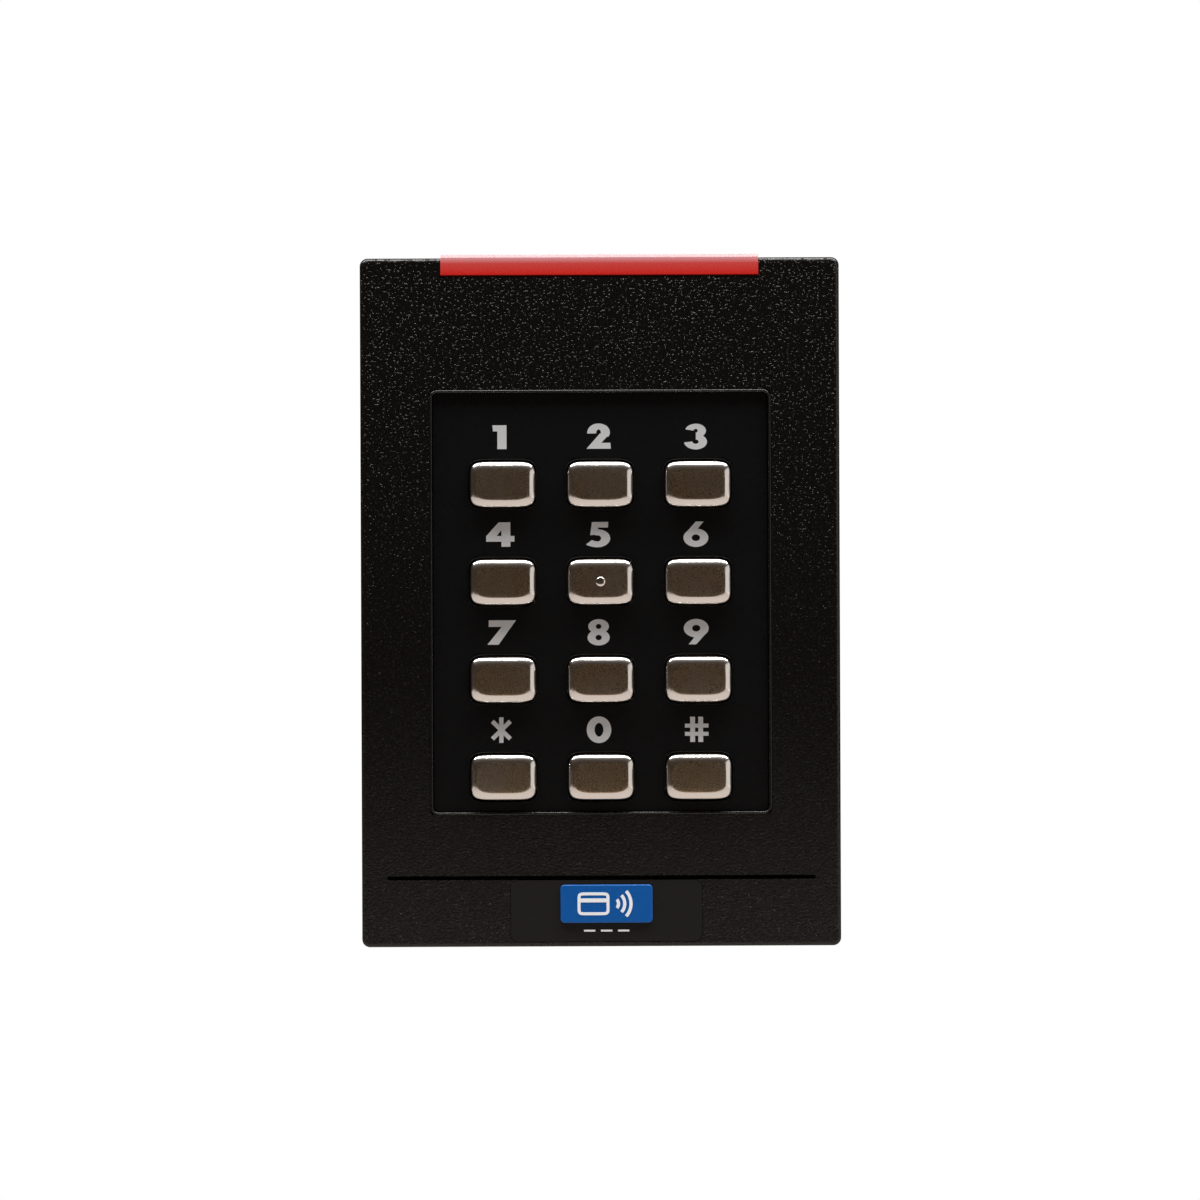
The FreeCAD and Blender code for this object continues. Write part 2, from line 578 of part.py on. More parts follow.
def make_keypad_board():
    """Key circuit board with two gold contacts under each key."""
    board = new_body("keypad_board")
    outline = (KEYPAD_BOARD_WIDTH, KEYPAD_BOARD_HEIGHT, "sizes.corner_radius")
    solid(board, outline, KEYPAD_BOARD_BASE, KEYPAD_BOARD_TOP)
    place = {"x": f"-{SCREW_POST_X}", "z": SCREW_POST_Z}
    radius = ("sizes.small_pilot + 2 * sizes.seam_gap",)
    hole = hollow(board, radius, KEYPAD_BOARD_BASE, KEYPAD_BOARD_TOP, **place)
    grid(board, [hole], 2, f"2 * {SCREW_POST_X}", 3, SCREW_POST_Z)
    pads = new_body("contact_pads")
    place = {"x": KEY_LEFT, "z": KEY_TOP_ROW}
    ring = solid(pads, ("sizes.pill_radius + 2 * sizes.seam_gap",), KEYPAD_BOARD_TOP, PAD_TOP, **place)
    gap = hollow(pads, ("sizes.pill_radius * 0.7",), KEYPAD_BOARD_TOP, PAD_TOP, **place)
    centre = solid(pads, ("sizes.pill_radius * 0.5",), KEYPAD_BOARD_TOP, PAD_TOP, **place)
    key_grid(pads, [ring, gap, centre])


def make_keypad_mat():
    """Silicone sheet with a hollow spring dome and a carbon pill under each key."""
    mat = new_body("keypad_mat")
    margin = "2 * sizes.mat_margin"
    outline = (f"{KEYPAD_BOARD_WIDTH} - {margin}", f"{KEYPAD_BOARD_HEIGHT} - {margin}", "sizes.corner_radius")
    solid(mat, outline, KEYPAD_BOARD_TOP, MAT_TOP)
    place = {"x": f"-{SCREW_POST_X}", "z": SCREW_POST_Z}
    hole = hollow(mat, ("sizes.small_post + 2 * sizes.seam_gap",), KEYPAD_BOARD_TOP, MAT_TOP, **place)
    grid(mat, [hole], 2, f"2 * {SCREW_POST_X}", 3, SCREW_POST_Z)
    place = {"x": KEY_LEFT, "z": KEY_TOP_ROW}
    ceiling = f"({DOME_TOP} - sizes.dome_wall)"
    dome_outline = ("sizes.dome_width", "sizes.dome_height", "sizes.key_corner")
    dome = solid(mat, dome_outline, MAT_TOP, DOME_TOP, draft="sizes.dome_draft", **place)
    walls = "3 * sizes.dome_wall"
    inside = (f"sizes.dome_width - {walls}", f"sizes.dome_height - {walls}", "sizes.dome_wall")
    cavity = hollow(mat, inside, KEYPAD_BOARD_TOP, ceiling, **place)
    pill_top = f"({PILL_BASE} + sizes.pill_thickness)"
    plunger = solid(mat, ("sizes.pill_radius",), pill_top, f"({ceiling} + sizes.dome_wall / 2)", **place)
    key_grid(mat, [dome, cavity, plunger])
    pills = new_body("contact_pills")
    key_grid(pills, [solid(pills, ("sizes.pill_radius",), PILL_BASE, pill_top, **place)])


def make_screws(name, head_radius, shank_radius, seat, head_thickness, shank_end, x, z, rows, step_z):
    """Pan-head screws driven from behind: head below the seat level, cross recess, shank in front of it."""
    screws = new_body(name)
    head_base = f"({seat} - {head_thickness})"
    place = {"x": f"-{x}", "z": z}
    shank = solid(screws, (shank_radius,), f"({seat} - {head_thickness} / 2)", shank_end, **place)
    head = solid(screws, (head_radius,), head_base, seat, **place)
    recess_end = f"({head_base} + {head_thickness} / 2)"
    long_side = f"{head_radius} * 1.2"
    short_side = f"{head_radius} * 0.3"
    across = hollow(screws, (long_side, short_side), head_base, recess_end, **place)
    down = hollow(screws, (short_side, long_side), head_base, recess_end, **place)
    grid(screws, [shank, head, across, down], 2, f"2 * {x}", rows, step_z)


def make_all_screws():
    """Six screws for the key board, four for the main board, four for the rear cover."""
    thin = "sizes.small_pilot - sizes.seam_gap / 2"
    key_end = f"({LEDGE_BASE} + sizes.ledge_thickness / 2 - 2 * sizes.seam_gap)"
    make_screws("keypad_screws", "sizes.small_head", thin, KEYPAD_BOARD_BASE,
                "sizes.small_head_thickness", key_end, SCREW_POST_X, SCREW_POST_Z, 3, SCREW_POST_Z)
    board_end = f"({MAIN_BOARD_TOP} + sizes.pilot_depth - 1)"
    make_screws("board_screws", "sizes.post_radius", thin, "sizes.main_board_level",
                "sizes.small_head_thickness", board_end, POST_X, POST_Z, 2, f"2 * {POST_Z}")
    cover_end = "(sizes.skirt_level + sizes.pilot_depth - 1)"
    make_screws("cover_screws", "sizes.cover_head", "sizes.cover_pilot - sizes.seam_gap / 2",
                "sizes.rear_level", "sizes.cover_head_thickness", cover_end, BOSS_X, BOSS_Z, 2,
                f"2 * {BOSS_Z}")


def make_main_board():
    """Main circuit board with square corner notches round the bosses, and four screw holes."""
    board = new_body("main_board")
    reach = "(sizes.boss_radius + sizes.board_gap)"
    narrow_width = f"2 * ({BOSS_X} - {reach})"
    short_height = f"2 * ({BOSS_Z} - {reach})"
    solid(board, (narrow_width, BOARD_HEIGHT), "sizes.main_board_level", MAIN_BOARD_TOP)
    solid(board, (BOARD_WIDTH, short_height), "sizes.main_board_level", MAIN_BOARD_TOP)
    place = {"x": f"-{POST_X}", "z": POST_Z}
    radius = ("sizes.small_pilot + 2 * sizes.seam_gap",)
    hole = hollow(board, radius, "sizes.main_board_level", MAIN_BOARD_TOP, **place)
    corner_grid(board, [hole], POST_X, POST_Z)


def make_antenna():
    """Rectangular winding on a channel frame that stands on the main board."""
    former = new_body("coil_former")
    floor_top = f"({MAIN_BOARD_TOP} + sizes.former_wall)"
    inner_width = f"({COIL_WIDTH} - 2 * sizes.coil_rim)"
    inner_height = f"({COIL_HEIGHT} - 2 * sizes.coil_rim)"
    wall = "2 * sizes.former_wall"
    round_corner = "(sizes.coil_rim + sizes.corner_radius)"
    small_corner = "sizes.corner_radius"
    solid(former, (COIL_WIDTH, COIL_HEIGHT, round_corner), MAIN_BOARD_TOP, floor_top)
    rim = (f"{inner_width} + {wall}", f"{inner_height} + {wall}", "sizes.corner_radius + sizes.former_wall")
    solid(former, rim, floor_top, COIL_TOP)
    hollow(former, (inner_width, inner_height, small_corner), MAIN_BOARD_TOP, COIL_TOP)
    coil = new_body("antenna_coil")
    coil_top = f"({COIL_TOP} - sizes.former_wall / 2)"
    outer = (f"{COIL_WIDTH} - sizes.former_wall", f"{COIL_HEIGHT} - sizes.former_wall", round_corner)
    solid(coil, outer, floor_top, coil_top)
    inner = (f"{inner_width} + {wall} + sizes.seam_gap", f"{inner_height} + {wall} + sizes.seam_gap",
             "sizes.corner_radius + sizes.former_wall")
    hollow(coil, inner, floor_top, coil_top)


def make_chip(name, shape, x, z):
    """Flat component on the front of the main board, with a small mark for its first pin."""
    chip = new_body(name)
    top = f"({MAIN_BOARD_TOP} + sizes.chip_thickness)"
    block = solid(chip, shape, MAIN_BOARD_TOP, top, x, z)
    dress_front(chip, block, top, "Chamfer", "sizes.seam_gap")
    width, height = shape[:2]
    mark = {"x": f"{x} - {width} * 0.3", "z": f"{z} + {height} * 0.3"}
    hollow(chip, (f"{width} * 0.06",), f"({top} - sizes.seam_gap)", top, **mark)


def make_components():
    """Everything soldered to the front of the main board."""
    processor = ("sizes.processor_side", "sizes.processor_side")
    make_chip("processor_chip", processor, "sizes.processor_x", "sizes.processor_z")
    make_chip("radio_chip", ("sizes.radio_side", "sizes.radio_side"), "sizes.radio_x", "sizes.radio_z")
    secure = ("sizes.secure_width", "sizes.secure_height")
    make_chip("secure_chip", secure, "sizes.radio_x", "sizes.secure_z")
    crystal = ("sizes.crystal_width", "sizes.crystal_height", "sizes.crystal_height / 4")
    make_chip("crystal", crystal, "sizes.crystal_x", "sizes.crystal_z")
    capacitors = new_body("capacitors")
    can = {"x": "sizes.can_x", "z": "sizes.can_z"}
    can_top = f"({MAIN_BOARD_TOP} + sizes.can_height)"
    body = solid(capacitors, ("sizes.can_radius",), MAIN_BOARD_TOP, can_top, **can)
    vent = hollow(capacitors, ("sizes.can_radius * 0.8", "sizes.seam_gap * 2"),
                  f"({can_top} - sizes.seam_gap)", can_top, **can)
    grid(capacitors, [body, vent], 3, "sizes.can_radius * 2.6")
    header = new_body("board_header")
    board_reach = f"{KEYPAD_BOARD_HEIGHT} / 2 - sizes.header_height"
    header_z = f"(-min({board_reach}; {COIL_BAY} - sizes.header_height / 2))"
    header_shape = ("sizes.header_width", "sizes.header_height")
    solid(header, header_shape, MAIN_BOARD_TOP, KEYPAD_BOARD_BASE, z=header_z)
    sounder = new_body("sounder")
    sounder_top = f"({MAIN_BOARD_TOP} + sizes.can_height)"
    sounder_z = f"({COIL_BAY} - sizes.sounder_radius)"
    solid(sounder, ("sizes.sounder_radius",), MAIN_BOARD_TOP, sounder_top, z=sounder_z)
    hollow(sounder, ("sizes.sounder_radius * 0.15",), f"({sounder_top} - 1)", sounder_top, z=sounder_z)
    lamps = new_body("status_leds")
    lamp_x = "(-3.5 * sizes.lamp_pitch)"
    lamp = solid(lamps, ("sizes.lamp_height * 2", "sizes.lamp_height"), MAIN_BOARD_TOP, LAMP_TOP, lamp_x, LED_Z)
    grid(lamps, [lamp], 8, "sizes.lamp_pitch")


def make_tamper_watch():
    """Optical sensor behind the main board and the clear window that it looks through."""
    sensor = new_body("tamper_sensor")
    low = "(sizes.main_board_level - sizes.tamper_depth)"
    outline = ("sizes.tamper_width", "sizes.tamper_height")
    solid(sensor, outline, low, "sizes.main_board_level", z="sizes.tamper_z")
    for side in (-1, 1):
        lens_x = f"{side} * sizes.tamper_width / 4"
        lens_end = f"({low} + sizes.tamper_depth / 8)"
        hollow(sensor, ("sizes.tamper_width / 6",), low, lens_end, lens_x, "sizes.tamper_z")
    window = new_body("tamper_window")
    radius = ("sizes.tamper_radius - sizes.seam_gap / 2",)
    solid(window, radius, "sizes.rear_level", REAR_TOP, z="sizes.tamper_z")


def make_terminals():
    """Two rows of seven wire clamps behind the main board, with their screws."""
    low = "(sizes.main_board_level - sizes.terminal_depth)"
    foot_z = "(sizes.terminal_z - sizes.terminal_height / 2)"
    hole_end = f"({low} + sizes.clamp_radius * 2)"
    for name, side in (("terminal_block_left", "-1"), ("terminal_block_right", "1")):
        block = new_body(name)
        middle = f"({side} * {TERMINAL_X})"
        first = f"({middle} - 3 * sizes.terminal_pitch)"
        outline = (TERMINAL_WIDTH, "sizes.terminal_height")
        solid(block, outline, low, "sizes.main_board_level", middle, "sizes.terminal_z")
        well = hollow(block, ("sizes.clamp_radius",), low, hole_end, first, "sizes.terminal_z")
        grid(block, [well], 7, "sizes.terminal_pitch")
        entry = ("sizes.terminal_pitch * 0.66", "sizes.terminal_pitch * 0.66")
        depth = f"({foot_z} + sizes.terminal_height * 0.4)"
        mouth = upright_hollow(block, entry, foot_z, depth, first, f"({low} + 2.4)")
        grid(block, [mouth], 7, "sizes.terminal_pitch")
    screws = new_body("terminal_screws")
    head_low = f"({low} + 2 * sizes.seam_gap)"
    head_high = f"({low} + sizes.clamp_radius)"
    radius = ("sizes.clamp_radius - sizes.seam_gap",)
    start = f"(-{TERMINAL_X} - 3 * sizes.terminal_pitch)"
    head = solid(screws, radius, head_low, head_high, start, "sizes.terminal_z")
    slot = ("sizes.clamp_radius * 3", "sizes.seam_gap * 4")
    cut = hollow(screws, slot, head_low, f"({head_low} + 4 * sizes.seam_gap)", start, "sizes.terminal_z")
    grid(screws, [head, cut], 7, "sizes.terminal_pitch")
    start = f"({TERMINAL_X} - 3 * sizes.terminal_pitch)"
    head = solid(screws, radius, head_low, head_high, start, "sizes.terminal_z")
    cut = hollow(screws, slot, head_low, f"({head_low} + 4 * sizes.seam_gap)", start, "sizes.terminal_z")
    grid(screws, [head, cut], 7, "sizes.terminal_pitch")


def make_rear_cover():
    """Flat closing plate with a window for the terminals, and its sealing ring."""
    cover = new_body("rear_cover")
    outline = (REAR_WIDTH, REAR_HEIGHT, "sizes.edge_round")
    solid(cover, outline, "sizes.rear_level", REAR_TOP)
    span = ("sizes.rear_level", REAR_TOP)
    place = {"x": f"-{BOSS_X}", "z": BOSS_Z}
    screw_hole = hollow(cover, ("sizes.cover_pilot + 2 * sizes.seam_gap",), *span, **place)
    corner_grid(cover, [screw_hole], BOSS_X, BOSS_Z)
    slot_height = "(sizes.hook_lip + sizes.plate_thickness + 3 * sizes.seam_gap)"
    slot_z = f"({HOOK_Z} + sizes.seam_gap - {slot_height} / 2)"
    slot = hollow(cover, ("sizes.hook_width + 1", slot_height), *span, "-sizes.hook_x", slot_z)
    grid(cover, [slot], 2, "2 * sizes.hook_x")
    window_top = "(sizes.terminal_z + sizes.terminal_height / 2 + sizes.board_gap)"
    window_low = "(sizes.terminal_z - sizes.terminal_height / 2 - sizes.wire_room)"
    window = (f"2 * {TERMINAL_X} + {TERMINAL_WIDTH} + 2 * sizes.board_gap", f"{window_top} - {window_low}")
    hollow(cover, window, *span, z=f"(({window_top} + {window_low}) / 2)")
    hollow(cover, ("sizes.tamper_radius",), *span, z="sizes.tamper_z")
    gasket = new_body("housing_gasket")
    solid(gasket, outline, REAR_TOP, "sizes.skirt_level")
    inside_width = f"{REAR_WIDTH} - 2 * sizes.gasket_width"
    inside_height = f"{REAR_HEIGHT} - 2 * sizes.gasket_width"
    inside = (inside_width, inside_height, "sizes.edge_round / 2")
    hollow(gasket, inside, REAR_TOP, "sizes.skirt_level")


def make_mounting_plate():
    """Wall plate: cable opening, two pairs of slotted holes, two hooks and the screw tab."""
    plate = new_body("mounting_plate")
    outline = (PLATE_WIDTH, PLATE_HEIGHT, "sizes.corner_radius")
    solid(plate, outline, "0", "sizes.plate_thickness")
    opening = ("sizes.opening_width", "sizes.opening_height", "2 * sizes.slot_radius")
    hollow(plate, opening, "0", "sizes.plate_thickness")
    gang = new_sketch(plate, "XZ_Plane", "0", "0", "sizes.gang_spacing / 2")
    draw_slot(gang, "sizes.slot_length", "sizes.slot_radius", True)
    grid(plate, [pocket(plate, gang, "sizes.plate_thickness")], rows=2, step_z="sizes.gang_spacing")
    level = new_sketch(plate, "XZ_Plane", "0", "-sizes.round_spacing / 2", "0")
    draw_slot(level, "sizes.slot_length", "sizes.slot_radius", False)
    grid(plate, [pocket(plate, level, "sizes.plate_thickness")], columns=2, step_x="sizes.round_spacing")
    root = "(sizes.plate_thickness / 2)"
    lip_base = f"({REAR_TOP} + 4 * sizes.seam_gap)"
    lip_top = f"({lip_base} + sizes.plate_thickness)"
    arm_z = f"({HOOK_Z} - sizes.plate_thickness / 2)"
    arm = solid(plate, ("sizes.hook_width", "sizes.plate_thickness"), root, lip_top, "-sizes.hook_x", arm_z)
    lip_height = "(sizes.plate_thickness + sizes.hook_lip)"
    lip_z = f"({HOOK_Z} - sizes.plate_thickness + {lip_height} / 2)"
    lip = solid(plate, ("sizes.hook_width", lip_height), lip_base, lip_top, "-sizes.hook_x", lip_z)
    grid(plate, [arm, lip], columns=2, step_x="2 * sizes.hook_x")
    tab_z = f"({PLATE_BOTTOM} + sizes.tab_height / 2)"
    solid(plate, ("sizes.tab_width", "sizes.tab_height"), root, TAB_TOP, z=tab_z)
    upright_hollow(plate, ("sizes.lock_radius",), PLATE_BOTTOM, TAB_HIGH, "0", "sizes.lock_level")


def make_security_screw():
    """Screw that comes up through the housing's bottom edge into the plate's tab."""
    screw = new_body("security_screw")
    head_base = f"({LOCK_HEAD_TOP} - sizes.lock_head_thickness)"
    axis = {"x": "0", "level": "sizes.lock_level"}
    shank = ("sizes.lock_radius - sizes.seam_gap / 2",)
    upright_solid(screw, shank, head_base, f"({TAB_HIGH} + 1)", **axis)
    upright_solid(screw, ("sizes.lock_head_radius",), head_base, LOCK_HEAD_TOP, **axis)
    recess_top = f"({head_base} + sizes.lock_head_thickness * 0.6)"
    upright_hollow(screw, ("sizes.lock_head_radius / 2",), head_base, recess_top, **axis)
    upright_solid(screw, ("sizes.lock_head_radius / 6",), head_base, recess_top, **axis)


def make_label_and_badge():
    """Smooth inlay below the groove, with a small raised plaque on it."""
    label = new_body("label_plate")
    place = {"x": "sizes.label_shift", "z": LABEL_Z}
    outline = ("sizes.label_width", "sizes.label_height", "sizes.corner_radius - sizes.seam_gap")
    solid(label, outline, "(sizes.cover_level - sizes.label_thickness)", "sizes.cover_level", **place)
    badge = new_body("badge")
    badge_top = "(sizes.cover_level + sizes.badge_thickness)"
    outline = ("sizes.badge_width", "sizes.badge_height", "sizes.badge_corner")
    block = solid(badge, outline, "sizes.cover_level", badge_top, "sizes.label_shift", BADGE_Z)
    dress_front(badge, block, badge_top, "Fillet", "sizes.badge_thickness / 2")


def check_document():
    """Stop if a feature failed, a cut removed nothing, or a piece has no sound shape."""
    for item in doc.Objects:
        if "Invalid" in item.State or "Error" in item.State:
            raise RuntimeError(f"{item.Label}: {item.State}")
        if item.TypeId == "PartDesign::Pocket":
            if item.Shape.Volume > item.BaseFeature.Shape.Volume - 1e-3:
                raise RuntimeError(f"{item.Label} cuts nothing")
    for piece in pieces:
        if piece.Shape.isNull() or not piece.Shape.isValid():
            raise RuntimeError(f"{piece.Label} has no sound shape")


KEY_NAMES = [
    ["key_1", "key_2", "key_3"],
    ["key_4", "key_5", "key_6"],
    ["key_7", "key_8", "key_9"],
    ["key_star", "key_0", "key_hash"],
]

make_front_cover()
make_light_bar()
make_keypad_panel()
for row, names in enumerate(KEY_NAMES):
    for column, name in enumerate(names):
        make_key(name, column, row, has_nib=name == "key_5")
make_keypad_board()
make_keypad_mat()
make_main_board()
make_antenna()
make_components()
make_tamper_watch()
make_terminals()
make_all_screws()
make_rear_cover()
make_mounting_plate()
make_security_screw()
make_label_and_badge()
doc.recompute()
check_document()
os.makedirs("parts", exist_ok=True)
for piece in pieces:
    piece.Shape.exportStep(f"parts/{piece.Label}.step")
print(len(pieces), "pieces")
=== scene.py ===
import bpy
import numpy as np
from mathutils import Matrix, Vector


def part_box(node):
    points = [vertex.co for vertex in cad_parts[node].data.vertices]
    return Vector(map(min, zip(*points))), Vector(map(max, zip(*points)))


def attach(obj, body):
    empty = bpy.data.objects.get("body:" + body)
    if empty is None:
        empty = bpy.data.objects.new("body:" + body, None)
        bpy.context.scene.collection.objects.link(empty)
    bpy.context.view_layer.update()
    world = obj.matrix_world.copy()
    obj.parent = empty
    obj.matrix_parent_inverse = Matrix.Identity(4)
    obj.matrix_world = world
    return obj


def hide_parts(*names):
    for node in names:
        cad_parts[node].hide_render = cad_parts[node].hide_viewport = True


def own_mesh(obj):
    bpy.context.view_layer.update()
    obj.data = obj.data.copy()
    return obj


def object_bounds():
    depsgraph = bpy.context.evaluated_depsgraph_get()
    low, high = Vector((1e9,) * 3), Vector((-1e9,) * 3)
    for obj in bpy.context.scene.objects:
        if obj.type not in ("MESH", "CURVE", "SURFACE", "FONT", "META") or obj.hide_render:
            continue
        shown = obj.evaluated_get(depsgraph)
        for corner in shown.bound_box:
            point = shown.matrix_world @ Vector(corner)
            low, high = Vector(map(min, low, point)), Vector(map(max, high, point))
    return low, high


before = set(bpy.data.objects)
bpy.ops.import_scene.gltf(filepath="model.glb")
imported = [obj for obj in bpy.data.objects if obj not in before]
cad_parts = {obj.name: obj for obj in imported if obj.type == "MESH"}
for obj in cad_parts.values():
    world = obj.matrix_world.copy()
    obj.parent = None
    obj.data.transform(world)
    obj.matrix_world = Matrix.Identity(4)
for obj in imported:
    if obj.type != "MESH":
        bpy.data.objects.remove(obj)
cad_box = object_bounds()

# Wall plate: pressed from 1.6 mm steel sheet and zinc plated, with slotted holes, a cable opening,
# two hooks at the top and a threaded tab at the bottom. It is screwed to the wall first.
MM = 0.001


def coated(name, colour, worn_colour, roughness, grain, bump=0.1, metallic=0.0, contrast=0.5,
           stretch=(1, 1, 1)):
    """A finish whose colour, roughness and fine relief follow one noise of the given grain size in metres."""
    material = bpy.data.materials.new(name)
    material.use_nodes = True
    nodes, links = material.node_tree.nodes, material.node_tree.links
    shader = nodes["Principled BSDF"]
    shader.inputs["Metallic"].default_value = metallic
    place = nodes.new("ShaderNodeTexCoord")
    turn = nodes.new("ShaderNodeMapping")
    turn.inputs["Scale"].default_value = stretch
    links.new(place.outputs["Object"], turn.inputs["Vector"])
    noise = nodes.new("ShaderNodeTexNoise")
    noise.name = "grain"
    noise.inputs["Scale"].default_value = 1 / grain
    noise.inputs["Detail"].default_value = 4
    noise.inputs["Roughness"].default_value = 0.6
    links.new(turn.outputs["Vector"], noise.inputs["Vector"])
    tint = nodes.new("ShaderNodeValToRGB")
    tint.name = "tint"
    tint.color_ramp.elements[0].position = 0.5 - contrast / 2
    tint.color_ramp.elements[1].position = 0.5 + contrast / 2
    tint.color_ramp.elements[0].color = (*colour, 1)
    tint.color_ramp.elements[1].color = (*worn_colour, 1)
    links.new(noise.outputs["Fac"], tint.inputs["Fac"])
    links.new(tint.outputs["Color"], shader.inputs["Base Color"])
    spread = nodes.new("ShaderNodeMapRange")
    spread.name = "spread"
    spread.inputs["From Min"].default_value = 0.3
    spread.inputs["From Max"].default_value = 0.7
    spread.inputs["To Min"].default_value = roughness[0]
    spread.inputs["To Max"].default_value = roughness[1]
    links.new(noise.outputs["Fac"], spread.inputs["Value"])
    links.new(spread.outputs["Result"], shader.inputs["Roughness"])
    relief = nodes.new("ShaderNodeBump")
    relief.name = "relief"
    relief.inputs["Strength"].default_value = bump
    relief.inputs["Distance"].default_value = grain
    links.new(noise.outputs["Fac"], relief.inputs["Height"])
    links.new(relief.outputs["Normal"], shader.inputs["Normal"])
    return material


def dress(material, *names):
    """Put a finish on CAD nodes."""
    for name in names:
        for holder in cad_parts[name].material_slots:
            holder.material = material


zinc_plate = coated("zinc_plate", (0.42, 0.43, 0.44), (0.62, 0.62, 0.60), (0.28, 0.48), 1.6 * MM, 0.08, 1.0)
dress(zinc_plate, "mounting_plate")

# Security screw: stainless steel, turned and rolled, with a pin in its drive. It comes up through the bottom
# edge of the housing into the plate's tab, and keeps the reader from being lifted off.
screw_steel = coated("screw_steel", (0.50, 0.50, 0.50), (0.70, 0.69, 0.67), (0.22, 0.40), 0.5 * MM, 0.06,
                     1.0)
dress(screw_steel, "security_screw")

# Rear cover: black moulded plate with a window for the wire terminals, sealed by a silicone ring and
# held by four screws; a clear polycarbonate disc lets the tamper sensor look out.
rear_plastic = coated("rear_plastic", (0.012, 0.012, 0.012), (0.022, 0.021, 0.020), (0.42, 0.58), 0.8 * MM,
                      0.15)
silicone = coated("silicone", (0.10, 0.10, 0.10), (0.14, 0.14, 0.14), (0.55, 0.70), 0.6 * MM, 0.10)
clear_plastic = coated("clear_plastic", (0.90, 0.93, 0.95), (0.96, 0.98, 1.0), (0.04, 0.10), 3 * MM, 0.01)
clear_shader = clear_plastic.node_tree.nodes["Principled BSDF"]
clear_shader.inputs["Transmission Weight"].default_value = 1.0
clear_shader.inputs["IOR"].default_value = 1.58
dress(rear_plastic, "rear_cover")
dress(silicone, "housing_gasket")
dress(clear_plastic, "tamper_window")
dress(screw_steel, "cover_screws")

# Main board: glass-epoxy with green solder mask, carrying the chips, lamps, sounder, header and sensor;
# the antenna coil is wound from enamelled copper on a black channel frame that stands on it.
solder_mask = coated("solder_mask", (0.010, 0.090, 0.030), (0.020, 0.150, 0.050), (0.22, 0.36), 0.9 * MM,
                     0.05)
chip_black = coated("chip_black", (0.018, 0.018, 0.018), (0.035, 0.035, 0.035), (0.40, 0.55), 0.3 * MM, 0.10)
moulded_black = coated("moulded_black", (0.022, 0.022, 0.022), (0.040, 0.040, 0.040), (0.36, 0.50), 0.7 * MM,
                       0.08)
lamp_lens = coated("lamp_lens", (0.80, 0.78, 0.70), (0.90, 0.88, 0.82), (0.15, 0.25), 0.4 * MM, 0.03)
drawn_aluminium = coated("drawn_aluminium", (0.62, 0.63, 0.64), (0.78, 0.78, 0.79), (0.20, 0.34), 0.6 * MM,
                         0.04, 1.0)
copper_wire = coated("copper_wire", (0.42, 0.16, 0.05), (0.62, 0.27, 0.10), (0.22, 0.36), 0.25 * MM, 0.20,
                     1.0, stretch=(1, 4, 1))
dress(solder_mask, "main_board", "keypad_board")
dress(chip_black, "processor_chip", "radio_chip", "secure_chip", "tamper_sensor")
dress(moulded_black, "sounder", "board_header", "coil_former")
dress(lamp_lens, "status_leds")
dress(drawn_aluminium, "capacitors", "crystal")
dress(copper_wire, "antenna_coil")
dress(screw_steel, "board_screws", "keypad_screws")

# Wire terminals: two rows of seven clamps, moulded in green polyamide and soldered to the main board. Their
# plated screws are reached through the window in the rear cover.
terminal_green = coated("terminal_green", (0.012, 0.150, 0.045), (0.020, 0.210, 0.070), (0.34, 0.48),
                        0.8 * MM, 0.06)
dress(terminal_green, "terminal_block_left", "terminal_block_right")
dress(screw_steel, "terminal_screws")

# Key circuit: gold-plated contacts on the key board, bridged by a carbon pill that rides on each key. The
# mat is a closed silicone sheet with a closed dome under each key that flattens as the key goes in; its
# hollows are left out, so the pills pass through it.
contact_gold = coated("contact_gold", (0.72, 0.50, 0.20), (0.85, 0.64, 0.30), (0.18, 0.30), 0.4 * MM, 0.03,
                      1.0)
carbon = coated("carbon", (0.015, 0.015, 0.015), (0.030, 0.030, 0.030), (0.60, 0.75), 0.2 * MM, 0.12)
dress(contact_gold, "contact_pads")
KEYS = ("key_1", "key_2", "key_3", "key_4", "key_5", "key_6", "key_7", "key_8", "key_9", "key_star", "key_0",
        "key_hash")
ROUND = np.linspace(0, 2 * np.pi, 96, endpoint=False)
DOME_HALF = (4.7 * MM, 3.4 * MM)
MAT_THICKNESS = 1.2 * MM
DOME_CLEARANCE = 0.05 * MM
DOME_TAPER = 1.0 * MM
PILL_RADII = (1.72, 1.80, 1.80, 1.72)
PILL_EDGE = 0.08 * MM
PILL_TRIM = 0.05 * MM


def rounded_outline(half_width, half_height, power):
    """Points of |x/a|^n + |z/b|^n = 1, the rounder the smaller n, at even angles about the middle."""
    cosine, sine = np.cos(ROUND), np.sin(ROUND)
    reach = (np.abs(cosine) ** power + np.abs(sine) ** power) ** (-1 / power)
    return half_width * reach * cosine, half_height * reach * sine


def add_mesh(name, points, faces, material, body, smooth=True):
    """Make a piece from points and faces, with its finish, and let it ride on a body."""
    mesh = bpy.data.meshes.new(name)
    mesh.from_pydata(points.tolist(), [], faces.tolist() if isinstance(faces, np.ndarray) else faces)
    mesh.materials.append(material)
    mesh.polygons.foreach_set("use_smooth", np.full(len(mesh.polygons), smooth))
    mesh.update()
    piece = bpy.data.objects.new(name, mesh)
    bpy.context.scene.collection.objects.link(piece)
    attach(piece, body)
    return piece


